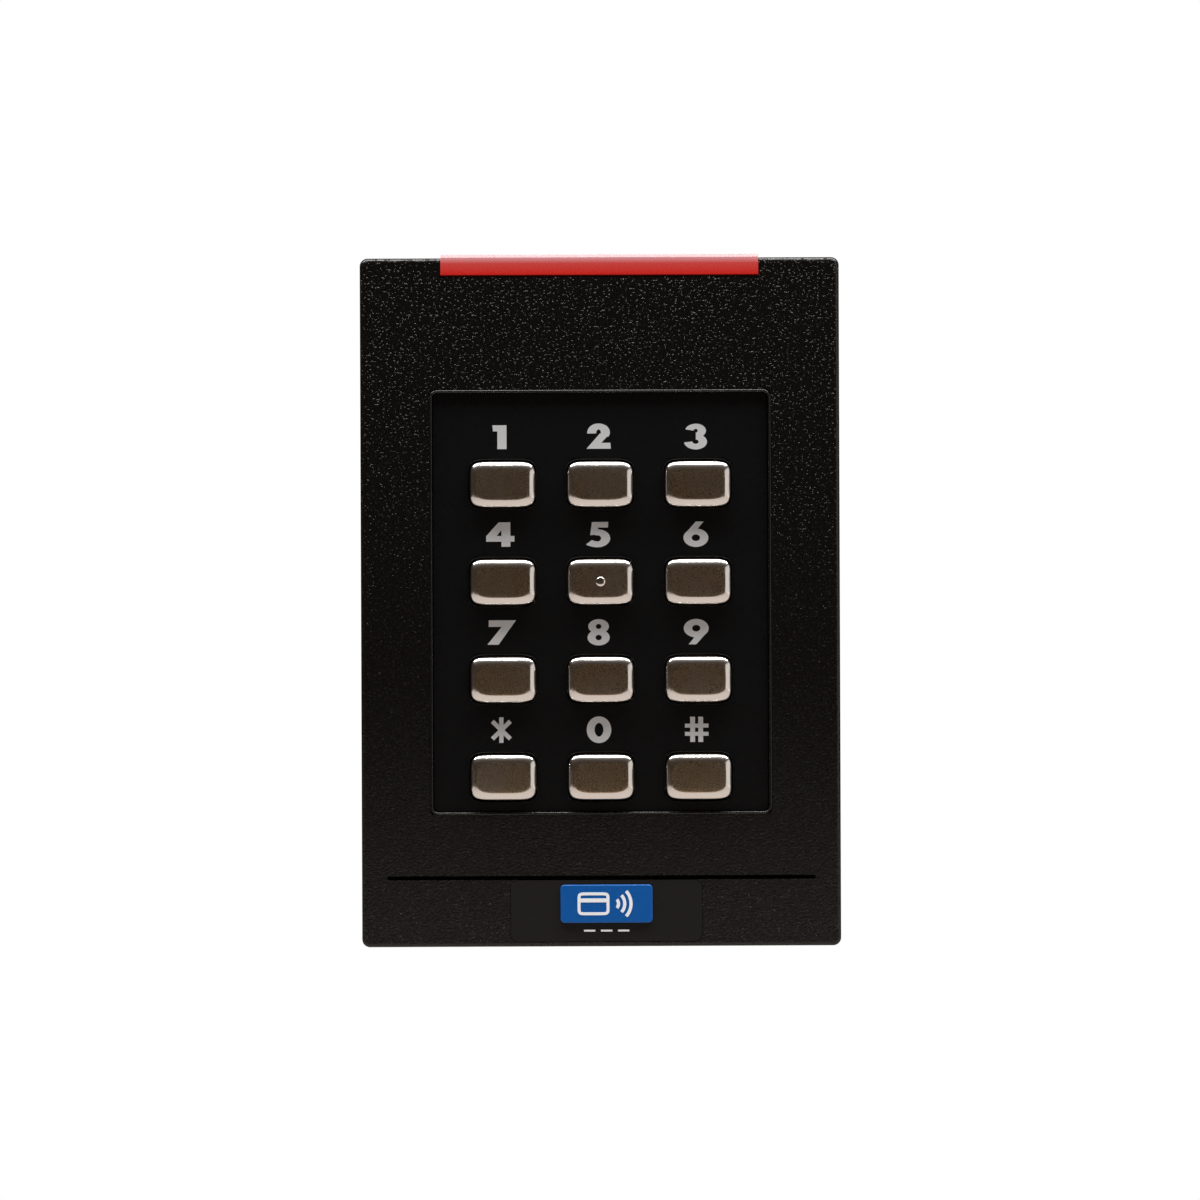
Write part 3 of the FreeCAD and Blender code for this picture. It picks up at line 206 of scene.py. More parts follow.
def skin_faces(rows, around, start=0, wrap=False):
    """Quads between neighbouring rings of a stack, and fans to the two end poles unless the stack wraps."""
    ring, step = np.meshgrid(np.arange(rows if wrap else rows - 1), np.arange(around), indexing="ij")
    following = (ring + 1) % rows
    turned = (step + 1) % around
    near = (ring * around + step, ring * around + turned)
    far = (following * around + turned, following * around + step)
    faces = (np.stack(near + far, axis=-1).reshape(-1, 4) + start).tolist()
    if not wrap:
        first, last, base = start + rows * around, start + rows * around + 1, start + (rows - 1) * around
        order = np.arange(around)
        after = (order + 1) % around
        faces += np.stack([np.full(around, first), after + start, order + start], axis=1).tolist()
        faces += np.stack([np.full(around, last), order + base, after + base], axis=1).tolist()
    return faces


def closed_skin(rings):
    """Points and outward faces of a skin through rings of shape (rows, around, 3), capped at both ends."""
    rows, around = rings.shape[:2]
    points = np.concatenate([rings.reshape(-1, 3), rings[:1].mean(axis=1), rings[-1:].mean(axis=1)])
    faces = skin_faces(rows, around)
    triangles = [(face[0], face[i], face[i + 1]) for face in faces[:8] for i in range(1, len(face) - 1)]
    triangles = np.array(triangles)
    middle = points.mean(axis=0)
    a, b, c = (points[triangles[:, i]] - middle for i in range(3))
    if np.einsum("ij,ij->", a, np.cross(b, c)) < 0:
        faces = [face[::-1] for face in faces]
    return points, faces


def stack_rings(centre, sizes, levels, power):
    """Rings of half sizes (a, b) at levels y, about a centre x, z: a stack of outlines of one shape."""
    rings = []
    for (half_width, half_height), level in zip(sizes, levels):
        x, z = rounded_outline(half_width, half_height, power)
        rings.append(np.stack([centre[0] + x, np.full_like(x, level), centre[1] + z], axis=1))
    return np.array(rings)


mat_low, mat_high = (np.array(corner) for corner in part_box("keypad_mat"))
board_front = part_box("keypad_board")[0][1]
key_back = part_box("key_1")[1][1]
sheet_front = board_front - MAT_THICKNESS
sheet_half = (mat_high - mat_low)[[0, 2]] / 2 - 0.1 * MM
sheet_levels = np.array([board_front, board_front - 0.1 * MM, sheet_front + 0.1 * MM, sheet_front])
sheet_sizes = [sheet_half - inset for inset in (0.1 * MM, 0, 0, 0.1 * MM)]
mat_middle = (mat_low + mat_high)[[0, 2]] / 2
mat_points, mat_faces = closed_skin(stack_rings(mat_middle, sheet_sizes, sheet_levels, 24))
mat_sheet = add_mesh("mat_sheet", mat_points, mat_faces, silicone, "housing")
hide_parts("keypad_mat")
for key in KEYS:
    low, high = (np.array(corner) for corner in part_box(key))
    key_middle = (low + high)[[0, 2]] / 2
    dome_top = key_back + DOME_CLEARANCE
    turn = np.linspace(0, np.pi / 2, 8)
    rise = sheet_front - dome_top
    sizes = [np.array(DOME_HALF) - (1 - np.cos(angle)) * DOME_TAPER for angle in turn]
    levels = sheet_front - rise * np.sin(turn)
    points, faces = closed_skin(stack_rings(key_middle, sizes, levels, 4))
    dome = add_mesh(f"dome_{key}", points, faces, silicone, "housing")
    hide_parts("keypad_mat")
    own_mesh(dome)
pill_low, pill_high = (np.array(corner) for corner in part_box("contact_pills"))
for key in KEYS:
    low, high = (np.array(corner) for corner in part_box(key))
    pill_sizes = [(radius * MM, radius * MM) for radius in PILL_RADII]
    pill_back = pill_high[1] - PILL_TRIM
    pill_levels = (pill_back, pill_back - PILL_EDGE, pill_low[1] + PILL_EDGE, pill_low[1])
    points, faces = closed_skin(stack_rings((low + high)[[0, 2]] / 2, pill_sizes, pill_levels, 2))
    pill = add_mesh(f"pill_{key}", points, faces, carbon, key)
    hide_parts("contact_pills")

# Keys: die-cast metal, bead-blasted on the flat and polished on the rolled shoulders, with a flange behind
# the panel that keeps them in. The 5 has a small raised dot to find it by touch.
KEY_FLANGE = 0.9 * MM
FLANGE_THICKNESS = 0.8 * MM
KEY_TRIM = (0.08 * MM, 0.12 * MM)
SHOULDER_SIDE = 1.10 * MM
SHOULDER_END = 1.36 * MM
SHOULDER_TILT = (18, 45, 86)
SHOULDER_BREAK = 0.80
CROWN = 0.05 * MM
NIB_RADIUS = 0.85 * MM
NIB_RISE = 0.30 * MM


def key_metal_finish():
    """Nickel-grey metal: the attribute polish runs from 0 on the blasted flat to 1 on the shoulders."""
    material = coated("key_metal", (0.42, 0.31, 0.195), (0.68, 0.53, 0.36), (0.24, 0.34), 0.18 * MM, 0.10,
                      1.0, 0.2)
    nodes, links = material.node_tree.nodes, material.node_tree.links
    shader = nodes["Principled BSDF"]
    polish = nodes.new("ShaderNodeAttribute")
    polish.attribute_name = "polish"
    shine = nodes.new("ShaderNodeMix")
    shine.data_type = "FLOAT"
    links.new(polish.outputs["Fac"], shine.inputs["Factor"])
    links.new(nodes["spread"].outputs["Result"], shine.inputs["A"])
    shine.inputs["B"].default_value = 0.18
    links.new(shine.outputs["Result"], shader.inputs["Roughness"])
    tarnish = nodes.new("ShaderNodeTexNoise")
    tarnish.inputs["Scale"].default_value = 1 / (14 * MM)
    tarnish.inputs["Detail"].default_value = 1
    links.new(nodes["Texture Coordinate"].outputs["Object"], tarnish.inputs["Vector"])
    patchy = nodes.new("ShaderNodeMapRange")
    patchy.inputs["From Min"].default_value = 0.40
    patchy.inputs["From Max"].default_value = 0.65
    links.new(tarnish.outputs["Fac"], patchy.inputs["Value"])
    toned = nodes.new("ShaderNodeMix")
    toned.data_type = "RGBA"
    links.new(patchy.outputs["Result"], toned.inputs["Factor"])
    links.new(nodes["tint"].outputs["Color"], toned.inputs["A"])
    toned.inputs["B"].default_value = (0.60, 0.50, 0.40, 1)
    bright = nodes.new("ShaderNodeMix")
    bright.data_type = "RGBA"
    links.new(polish.outputs["Fac"], bright.inputs["Factor"])
    links.new(toned.outputs["Result"], bright.inputs["A"])
    bright.inputs["B"].default_value = (0.86, 0.82, 0.78, 1)
    links.new(bright.outputs["Result"], shader.inputs["Base Color"])
    less = nodes.new("ShaderNodeMapRange")
    links.new(polish.outputs["Fac"], less.inputs["Value"])
    less.inputs["To Min"].default_value = 0.22
    less.inputs["To Max"].default_value = 0.0
    links.new(less.outputs["Result"], nodes["relief"].inputs["Strength"])
    return material


def shoulder_profile():
    """Share of width, and depth per unit width, down a shoulder: an even bend to the break, then a roll."""
    first, middle, last = np.radians(SHOULDER_TILT)
    slope = np.linspace(first, middle, 9)
    across = (slope - first) / (middle - first) * SHOULDER_BREAK
    roll = np.linspace(middle, last, 9)[1:]
    turned = (np.sin(roll) - np.sin(middle)) / (np.sin(last) - np.sin(middle))
    rolled = SHOULDER_BREAK + (1 - SHOULDER_BREAK) * turned
    slope, across = np.concatenate([slope, roll]), np.concatenate([across, rolled])
    steps = np.diff(across) * np.tan((slope[1:] + slope[:-1]) / 2)
    return across, np.concatenate([[0], np.cumsum(steps)])


def key_rings(centre, half_width, half_height, top, panel, back):
    """Rings from the middle of the crowned flat, over the shoulder, down the side and round the flange."""
    flat_width, flat_height = half_width - SHOULDER_SIDE, half_height - SHOULDER_END
    rows = []
    for f in np.linspace(0.04, 1, 12):
        rows.append((flat_width * f, flat_height * f, top + CROWN * f**2, 0.0, 3.0 + 1.0 * f))
    across, depth = shoulder_profile()
    level = top + CROWN
    for share, fall in zip(across, depth * (SHOULDER_SIDE + SHOULDER_END) / 2):
        polish = min(1.0, share * 12)
        power = 4.0 + 1.4 * share
        width, height = flat_width + SHOULDER_SIDE * share, flat_height + SHOULDER_END * share
        rows.append((width, height, level + fall, polish, power))
    del rows[11]
    flange_front = back - FLANGE_THICKNESS
    rows.append((half_width, half_height, panel, 1.0, 5.4))
    rows.append((half_width, half_height, flange_front, 1.0, 5.4))
    rows.append((half_width + KEY_FLANGE, half_height + KEY_FLANGE, flange_front, 0.0, 7))
    rows.append((half_width + KEY_FLANGE, half_height + KEY_FLANGE, back, 0.0, 7))
    rings = []
    for a, b, height, _, power in rows:
        x, z = rounded_outline(a, b, power)
        rings.append(np.stack([centre[0] + x, np.full_like(x, height), centre[1] + z], axis=1))
    return np.array(rings), np.repeat([row[3] for row in rows], len(ROUND))


key_metal = key_metal_finish()
key_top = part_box("key_1")[0][1]
panel_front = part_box("keypad_panel")[0][1]
for key in KEYS:
    low, high = (np.array(corner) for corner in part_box(key))
    half = (high - low)[[0, 2]] / 2 - KEY_FLANGE - np.array((0, sum(KEY_TRIM) / 2))
    key_middle = (low + high)[[0, 2]] / 2 + np.array((0, (KEY_TRIM[0] - KEY_TRIM[1]) / 2))
    rings, polish = key_rings(key_middle, half[0], half[1], key_top, panel_front, high[1])
    points, faces = closed_skin(rings)
    cap = add_mesh(f"cap_{key}", points, faces, key_metal, key)
    shine = cap.data.attributes.new("polish", "FLOAT", "POINT")
    shine.data.foreach_set("value", np.concatenate([polish, [0, 0]]).astype(np.float32))
    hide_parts(key)
nib_low, nib_high = (np.array(corner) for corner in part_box("key_5"))
nib_middle = (nib_low + nib_high)[[0, 2]] / 2
dome_turn = np.linspace(0, np.pi / 2, 10)[:-1]
nib_sizes = [(NIB_RADIUS * np.cos(angle),) * 2 for angle in dome_turn]
nib_levels = key_top + 0.02 * MM - (NIB_RISE + 0.02 * MM) * np.sin(dome_turn)
points, faces = closed_skin(stack_rings(nib_middle, nib_sizes, nib_levels, 2))
nib = add_mesh("key_5_dot", points, faces, key_metal, "key_5")
shine = nib.data.attributes.new("polish", "FLOAT", "POINT")
shine.data.foreach_set("value", np.ones(len(points), dtype=np.float32))

# Housing: one black polycarbonate moulding with a fine spark-eroded grain from the tool. The grain is
# sharpest near the top edge and turns into a soft leathery relief towards the bottom. The groove's sheen
# is turned off as painted shade, so that it reads as a dark line.
housing_black = coated("housing_black", (0.0026, 0.0024, 0.0021), (0.0042, 0.0038, 0.0034), (0.26, 0.34),
                       0.49 * MM, 1.0, stretch=(1.0, 1.0, 1.4))
housing_nodes, housing_links = housing_black.node_tree.nodes, housing_black.node_tree.links
housing_place = housing_nodes.new("ShaderNodeTexCoord")
housing_split = housing_nodes.new("ShaderNodeSeparateXYZ")
housing_links.new(housing_place.outputs["Object"], housing_split.inputs["Vector"])
peaks = housing_nodes.new("ShaderNodeMapRange")
peaks.interpolation_type = "SMOOTHSTEP"
peaks.inputs["From Min"].default_value = 0.585
peaks.inputs["From Max"].default_value = 0.77
fade = housing_nodes.new("ShaderNodeMapRange")
fade.inputs["From Min"].default_value = -0.030
fade.inputs["From Max"].default_value = 0.052
fade.inputs["To Min"].default_value = 0.15
fade.inputs["To Max"].default_value = 1.0
soft_grain = housing_nodes.new("ShaderNodeMath")
soft_grain.operation = "MULTIPLY"
leather = housing_nodes.new("ShaderNodeMapRange")
leather.inputs["From Min"].default_value = -0.058
leather.inputs["From Max"].default_value = -0.008
leather.inputs["To Min"].default_value = 2.8
leather.inputs["To Max"].default_value = 0.45
housing_links.new(housing_split.outputs["Z"], leather.inputs["Value"])
housing_links.new(leather.outputs["Result"], soft_grain.inputs[1])
height = housing_nodes.new("ShaderNodeMath")
height.operation = "MULTIPLY_ADD"
housing_links.new(housing_nodes["grain"].outputs["Fac"], peaks.inputs["Value"])
housing_links.new(housing_split.outputs["Z"], fade.inputs["Value"])
housing_links.new(housing_nodes["grain"].outputs["Fac"], soft_grain.inputs[0])
housing_links.new(peaks.outputs["Result"], height.inputs[0])
housing_links.new(fade.outputs["Result"], height.inputs[1])
housing_links.new(soft_grain.outputs[0], height.inputs[2])
housing_links.new(height.outputs[0], housing_nodes["relief"].inputs["Height"])
housing_nodes["grain"].inputs["Detail"].default_value = 2
housing_nodes["relief"].inputs["Distance"].default_value = 0.079 * MM
label_low, label_high = (np.array(corner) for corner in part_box("label_plate"))
groove_level = float(label_high[2]) + 0.45 * MM
groove_shade_mask = None
groove_floor = float(label_low[1]) + 0.30 * MM
for axis, middle, reach in (("Z", groove_level, 0.42 * MM), ("X", 0.0, 38 * MM),
                            ("Y", groove_floor, 0.25 * MM)):
    inside = housing_nodes.new("ShaderNodeMath")
    inside.operation = "COMPARE"
    inside.inputs[1].default_value = middle
    inside.inputs[2].default_value = reach
    housing_links.new(housing_split.outputs[axis], inside.inputs[0])
    if groove_shade_mask is not None:
        both = housing_nodes.new("ShaderNodeMath")
        both.operation = "MULTIPLY"
        housing_links.new(groove_shade_mask.outputs[0], both.inputs[0])
        housing_links.new(inside.outputs[0], both.inputs[1])
        inside = both
    groove_shade_mask = inside
# Painted shade: inside the groove the sheen drops to nothing, so the groove reads as a dark line.
groove_painted_shade = housing_nodes.new("ShaderNodeMapRange")
groove_painted_shade.inputs["To Min"].default_value = 0.5
groove_painted_shade.inputs["To Max"].default_value = 0.0
housing_links.new(groove_shade_mask.outputs[0], groove_painted_shade.inputs["Value"])
housing_links.new(groove_painted_shade.outputs["Result"], housing_nodes["Principled BSDF"].inputs["Specular IOR Level"])
dress(housing_black, "front_cover")

# Light bar: frosted red polycarbonate, pushed into the notch at the top edge and lit from below by the
# lamps. Its front has a painted glow for light from above scattered in the bar, palest along the upper
# edge as a painted highlight, and a painted shadow line where it meets the housing.
bar_red = coated("bar_red", (0.46, 0.014, 0.008), (0.52, 0.020, 0.013), (0.24, 0.30), 0.35 * MM, 0.04)
bar_nodes, bar_links = bar_red.node_tree.nodes, bar_red.node_tree.links
bar_shader = bar_nodes["Principled BSDF"]
bar_shader.inputs["Coat Weight"].default_value = 0.25
bar_shader.inputs["Specular IOR Level"].default_value = 0.34
bar_shader.inputs["Coat Roughness"].default_value = 0.22
bar_shader.inputs["Subsurface Weight"].default_value = 0.5
bar_shader.inputs["Subsurface Radius"].default_value = (1.0, 0.15, 0.10)
bar_shader.inputs["Subsurface Scale"].default_value = 2 * MM
bar_low, bar_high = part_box("light_bar")
BAR_FACE = 3.9 * MM
bar_place = bar_nodes.new("ShaderNodeTexCoord")
bar_split = bar_nodes.new("ShaderNodeSeparateXYZ")
bar_links.new(bar_place.outputs["Object"], bar_split.inputs["Vector"])
bar_height = bar_nodes.new("ShaderNodeMapRange")
bar_height.inputs["From Min"].default_value = bar_high[2] - BAR_FACE
bar_height.inputs["From Max"].default_value = bar_high[2]
bar_links.new(bar_split.outputs["Z"], bar_height.inputs["Value"])
# Painted glow: emission on the front stands in for light from above scattered in the bar, with a pale painted
# highlight along the upper edge.
bar_painted_glow = bar_nodes.new("ShaderNodeValToRGB")
bar_painted_glow.color_ramp.elements[0].color = (0.0, 0.0, 0.0, 1)
bar_painted_glow.color_ramp.elements[1].color = (0.04, 0.34, 0.37, 1)
bar_painted_glow.color_ramp.elements[1].position = 0.90
PAINTED_GLOWS = {
    0.06: (0.0, 0.0, 0.0, 1),
    0.10: (0.24, 0.006, 0.005, 1),
    0.60: (0.26, 0.045, 0.042, 1),
    0.78: (0.30, 0.19, 0.20, 1),
}
for position, painted_glow in PAINTED_GLOWS.items():
    bar_painted_glow.color_ramp.elements.new(position).color = painted_glow
bar_depth = bar_nodes.new("ShaderNodeMapRange")
bar_depth.inputs["From Min"].default_value = bar_low[1] + 1.0 * MM
bar_depth.inputs["From Max"].default_value = bar_low[1] + 0.55 * MM
bar_links.new(bar_split.outputs["Y"], bar_depth.inputs["Value"])
bar_painted_glow_mask = bar_nodes.new("ShaderNodeMath")
bar_painted_glow_mask.operation = "MULTIPLY"
bar_links.new(bar_height.outputs["Result"], bar_painted_glow_mask.inputs[0])
bar_links.new(bar_depth.outputs["Result"], bar_painted_glow_mask.inputs[1])
bar_links.new(bar_painted_glow_mask.outputs[0], bar_painted_glow.inputs["Fac"])
bar_links.new(bar_painted_glow.outputs["Color"], bar_shader.inputs["Emission Color"])
# Painted shadow: the colour is darkened to a thin line along the lower edge, where the bar meets the housing.
bar_painted_shadow = bar_nodes.new("ShaderNodeMapRange")
bar_painted_shadow.inputs["From Min"].default_value = bar_high[2] - BAR_FACE + 0.25 * MM
bar_painted_shadow.inputs["From Max"].default_value = bar_high[2] - BAR_FACE + 0.42 * MM
bar_painted_shadow.inputs["To Min"].default_value = 0.04
bar_links.new(bar_split.outputs["Z"], bar_painted_shadow.inputs["Value"])
bar_painted_shadow_colour = bar_nodes.new("ShaderNodeVectorMath")
bar_painted_shadow_colour.operation = "SCALE"
bar_links.new(bar_nodes["tint"].outputs["Color"], bar_painted_shadow_colour.inputs[0])
bar_links.new(bar_painted_shadow.outputs["Result"], bar_painted_shadow_colour.inputs["Scale"])
bar_links.new(bar_painted_shadow_colour.outputs["Vector"], bar_shader.inputs["Base Color"])
bar_shader.inputs["Emission Strength"].default_value = 1.0
dress(bar_red, "light_bar")

# Keypad panel: smooth satin black insert, moulded with twelve windows for the keys, and held in the recess
# by a frame of foam tape.
panel_black = coated("panel_black", (0.0032, 0.0034, 0.0040), (0.0048, 0.0050, 0.0057), (0.40, 0.50),
                     0.30 * MM, 0.12)
panel_black.node_tree.nodes["Principled BSDF"].inputs["Specular IOR Level"].default_value = 0.20
foam_tape = coated("foam_tape", (0.020, 0.020, 0.020), (0.035, 0.035, 0.035), (0.75, 0.90), 0.2 * MM, 0.2)
dress(panel_black, "keypad_panel")
dress(foam_tape, "panel_tape")

# Window lips: each opening of the panel narrows to a thin moulded lip that follows the key, a fifth of a
# millimetre off at the sides and a little more above and below, so that little of the dark gap shows.
LIP_CLEARANCE = 0.20 * MM
LIP_ROOT = 0.75 * MM
LIP_SECTION = ((LIP_ROOT, 0.06), (LIP_CLEARANCE + 0.10 * MM, 0.08), (LIP_CLEARANCE, 0.18),
               (LIP_CLEARANCE, 0.70), (LIP_ROOT, 0.70))
for key in KEYS:
    low, high = (np.array(corner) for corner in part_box(key))
    half = (high - low)[[0, 2]] / 2 - KEY_FLANGE
    lip_sizes = [half + outset for outset, _ in LIP_SECTION]
    lip_levels = [panel_front + depth * MM for _, depth in LIP_SECTION]
    skin = stack_rings((low + high)[[0, 2]] / 2, lip_sizes, lip_levels, 5.4)
    faces = skin_faces(len(skin), len(ROUND), wrap=True)
    points = skin.reshape(-1, 3)
    a, b, c = points[faces[0][0]], points[faces[0][1]], points[faces[0][2]]
    if np.cross(b - a, c - a)[1] > 0:
        faces = [face[::-1] for face in faces]
    add_mesh(f"window_lip_{key}", points, faces, panel_black, "housing")

# Panel lip: a fine rounded bead of black plastic, pressed into the gap between the panel and the recess. Its
# upper run catches the light.
LIP_RADIUS = 0.25 * MM
LIP_CORNER = 1.2 * MM
panel_low, panel_high = (np.array(corner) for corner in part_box("keypad_panel"))
lip_half = (panel_high - panel_low)[[0, 2]] / 2 + np.array((0.24, 0.03)) * MM
lip_middle = (panel_low + panel_high)[[0, 2]] / 2


def bead_rings(middle, half, corner, radius, level):
    """Circles carried round a rounded rectangle: its line plus radius (cos t outward + sin t forward)."""
    turn = np.linspace(0, np.pi / 2, 10)
    signs = ((1, 1), (-1, 1), (-1, -1), (1, -1))
    path, outward = [], []
    for quarter, (side, up) in enumerate(signs):
        angle = turn + quarter * np.pi / 2
        normal = np.stack([np.cos(angle), np.sin(angle)], axis=1)
        path.append(np.array((side, up)) * (half - corner) + corner * normal)
        outward.append(normal)
    path, outward = np.concatenate(path) + middle, np.concatenate(outward)
    around = np.linspace(0, 2 * np.pi, 12, endpoint=False)
    side, front = np.cos(around) * radius, np.sin(around) * radius
    flat = path[:, None] + outward[:, None] * side[None, :, None]
    depth = np.broadcast_to(level - front, flat.shape[:2])
    return np.stack([flat[..., 0], depth, flat[..., 1]], axis=-1)


lip_black = coated("lip_black", (0.006, 0.006, 0.007), (0.009, 0.009, 0.010), (0.22, 0.32), 0.4 * MM, 0.10)
housing_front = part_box("front_cover")[0][1]
lip_rings = bead_rings(lip_middle, lip_half, LIP_CORNER, LIP_RADIUS, housing_front + 0.15 * MM)
lip_faces = skin_faces(len(lip_rings), 12, wrap=True)
lip_points = lip_rings.reshape(-1, 3)
corner_a, corner_b, corner_c = (lip_points[lip_faces[0][i]] for i in range(3))
first_middle = lip_rings[0].mean(axis=0)
if np.dot(np.cross(corner_b - corner_a, corner_c - corner_a), corner_a - first_middle) < 0:
    lip_faces = [face[::-1] for face in lip_faces]
add_mesh("panel_lip", lip_points, lip_faces, lip_black, "housing")

# Key symbols: pad-printed grey ink, a few hundredths of a millimetre thick, above each key. Each one is
# drawn with a broad pen that is wider across than down, and with plain straight-sided pieces.
LEGEND_SHIFT = (-0.36 * MM, 8.32 * MM)
INK_THICKNESS = 0.02 * MM
INK_STEP = 0.002 * MM
PEN = (0.80, 0.52)


def arc(x, z, reach_x, reach_z, start, end, count=28):
    """Points of an ellipse about x, z from one angle to another, in degrees and millimetres."""
    angle = np.radians(np.linspace(start, end, count))
    return np.stack([x + reach_x * np.cos(angle), z + reach_z * np.sin(angle)], axis=1)


def pen_edges(path, pen, closed):
    """Both edges of a stroke: path ± (p²nx, q²nz) / |(p nx, q nz)| for a pen of half sizes p and q."""
    if closed:
        along = np.roll(path, -1, axis=0) - np.roll(path, 1, axis=0)
    else:
        along = np.gradient(path, axis=0)
    normal = np.stack([-along[:, 1], along[:, 0]], axis=1)
    wide = normal * np.array(pen) ** 2
    wide /= np.linalg.norm(normal * pen, axis=1, keepdims=True)
    return path + wide, path - wide


def ink_rings(left, right, front, back):
    """A rectangular section carried along a stroke: left and right edges, at the front and the back level."""
    corners = [(left, front), (right, front), (right, back), (left, back)]
    rings = []
    for edge, level in corners:
        rings.append(np.stack([edge[:, 0], np.full(len(edge), level), edge[:, 1]], axis=1))
    return np.stack(rings, axis=1)


RING_6 = (arc(0, -0.63, 1.46, 1.10, 0, 360, 57)[:-1], (0.73, 0.52))
TAIL_6 = np.array([(0.0, 2.22), (1.35, 2.22), (0.15, 0.75), (-1.90, 0.10)])
THREE_TOP = np.concatenate([
    arc(0.10, 0.98, 1.20, 0.82, 168, 95, 12),
    arc(0.10, 1.02, 1.02, 0.78, 90, -92),
])
THREE_FOOT = np.concatenate([
    arc(0.10, -0.92, 1.18, 0.86, 92, -85),
    arc(0.10, -0.82, 1.42, 0.98, -92, -172, 12),
])
TWO_BOWL = np.concatenate([
    arc(0.12, 0.70, 1.20, 1.14, 185, 90, 14),
    arc(0.12, 0.80, 1.20, 1.04, 84, -35, 20),
])
FIVE_BOWL = np.concatenate([
    arc(-0.10, -0.67, 1.40, 1.06, 118, -86),
    arc(-0.10, -0.67, 2.0, 1.06, -92, -140, 8),
])
STROKES = {
    "key_2": [(TWO_BOWL, PEN)],
    "key_3": [(THREE_TOP, (0.72, 0.46)), (THREE_FOOT, (0.74, 0.49))],
    "key_5": [(FIVE_BOWL, PEN)],
    "key_star": [
        (np.array([(0, 2.25), (0, 0), (0, -2.25)]), (0.38, 0.38)),
        (np.array([(-1.58, 1.55), (0, 0), (1.58, -1.55)]), (0.38, 0.38)),
        (np.array([(-1.58, -1.55), (0, 0), (1.58, 1.55)]), (0.38, 0.38)),
    ],
    "key_hash": [
        (np.array([(-0.70, 2.22), (-0.70, 0), (-0.70, -2.22)]), (0.43, 0.43)),
        (np.array([(0.72, 2.22), (0.72, 0), (0.72, -2.22)]), (0.43, 0.43)),
        (np.array([(-2.05, 0.66), (0, 0.66), (2.10, 0.66)]), (0.35, 0.35)),
        (np.array([(-2.05, -0.78), (0, -0.78), (2.10, -0.78)]), (0.35, 0.35)),
    ],
}
RINGS = {
    "key_6": [RING_6],
    "key_9": [(-RING_6[0], RING_6[1])],
    "key_8": [
        (arc(0, 1.00, 1.15, 0.86, 0, 360, 57)[:-1], (0.66, 0.42)),
        (arc(0, -0.95, 1.25, 0.93, 0, 360, 57)[:-1], (0.70, 0.46)),
    ],
    "key_0": [(arc(0, 0, 1.47, 1.78, 0, 360, 57)[:-1], (0.69, 0.57))],
}
BLOCKS = {
    "key_1": [
        [(-0.52, 2.10), (1.11, 2.10), (1.11, -2.10), (-0.52, -2.10)],
        [(-1.38, 2.10), (-0.46, 2.10), (-0.46, 1.03), (-1.28, 1.03)],
    ],
    "key_2": [
        [(-2.02, -2.10), (2.27, -2.10), (2.20, -1.05), (-1.0, -1.05)],
        [(-2.02, -2.10), (0.60, -1.05), (1.75, 0.20), (0.35, 0.60)],
    ],
    "key_4": [
        [(0.14, 2.20), (1.72, 2.20), (1.72, -2.10), (0.14, -2.10)],
        [(-2.55, -0.20), (2.44, -0.20), (2.44, -1.20), (-2.55, -1.20)],
        [(-0.35, 2.20), (1.30, 2.20), (-0.75, -0.25), (-2.55, -0.25)],
    ],
    "key_5": [
        [(-1.10, 2.20), (1.77, 2.20), (1.70, 1.22), (-1.15, 1.22)],
        [(-1.10, 2.20), (0.05, 2.20), (-0.10, -0.02), (-1.42, -0.10)],
    ],
    "key_6": [TAIL_6],
    "key_7": [
        [(-2.15, 2.15), (2.65, 2.15), (1.80, 1.00), (-2.15, 1.00)],
        [(2.65, 2.15), (-0.42, -2.15), (-2.40, -2.15), (0.17, 1.05)],
    ],
    "key_9": [-TAIL_6],
}


def ink_piece(name, strokes, rings, blocks, middle, front, material):
    """Print strokes, closed rings and four-cornered blocks at a place, each a hair above the last."""
    outlines = [(*pen_edges(path, pen, False), False) for path, pen in strokes]
    outlines += [(*pen_edges(path, pen, True), True) for path, pen in rings]
    for corners in blocks:
        a, b, c, d = np.array(corners, dtype=float)
        outlines.append((np.array([a, d]), np.array([b, c]), False))
    all_points, all_faces, start = [], [], 0
    for order, (left, right, closed) in enumerate(outlines):
        level = front - INK_THICKNESS - order * INK_STEP
        skin = ink_rings(middle + left * MM, middle + right * MM, level, front)
        points, faces = closed_skin(skin)
        if closed:
            points, faces = skin.reshape(-1, 3), skin_faces(len(skin), 4, wrap=True)
            a, b, c = points[faces[0][0]], points[faces[0][1]], points[faces[0][2]]
            if np.cross(b - a, c - a)[1] > 0:
                faces = [face[::-1] for face in faces]
        all_points.append(points)
        all_faces += [[index + start for index in face] for face in faces]
        start += len(points)
    return add_mesh(name, np.concatenate(all_points), all_faces, material, "housing",
                    smooth=False)


ink_grey = coated("ink_grey", (0.79, 0.82, 0.85), (0.85, 0.88, 0.91), (0.45, 0.60), 0.15 * MM, 0.08)
for key in KEYS:
    low, high = (np.array(corner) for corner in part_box(key))
    middle = (low + high)[[0, 2]] / 2 + np.array(LEGEND_SHIFT)
    drawing = STROKES.get(key, []), RINGS.get(key, []), BLOCKS.get(key, [])
    ink_piece(f"legend_{key}", *drawing, middle, panel_front, ink_grey)

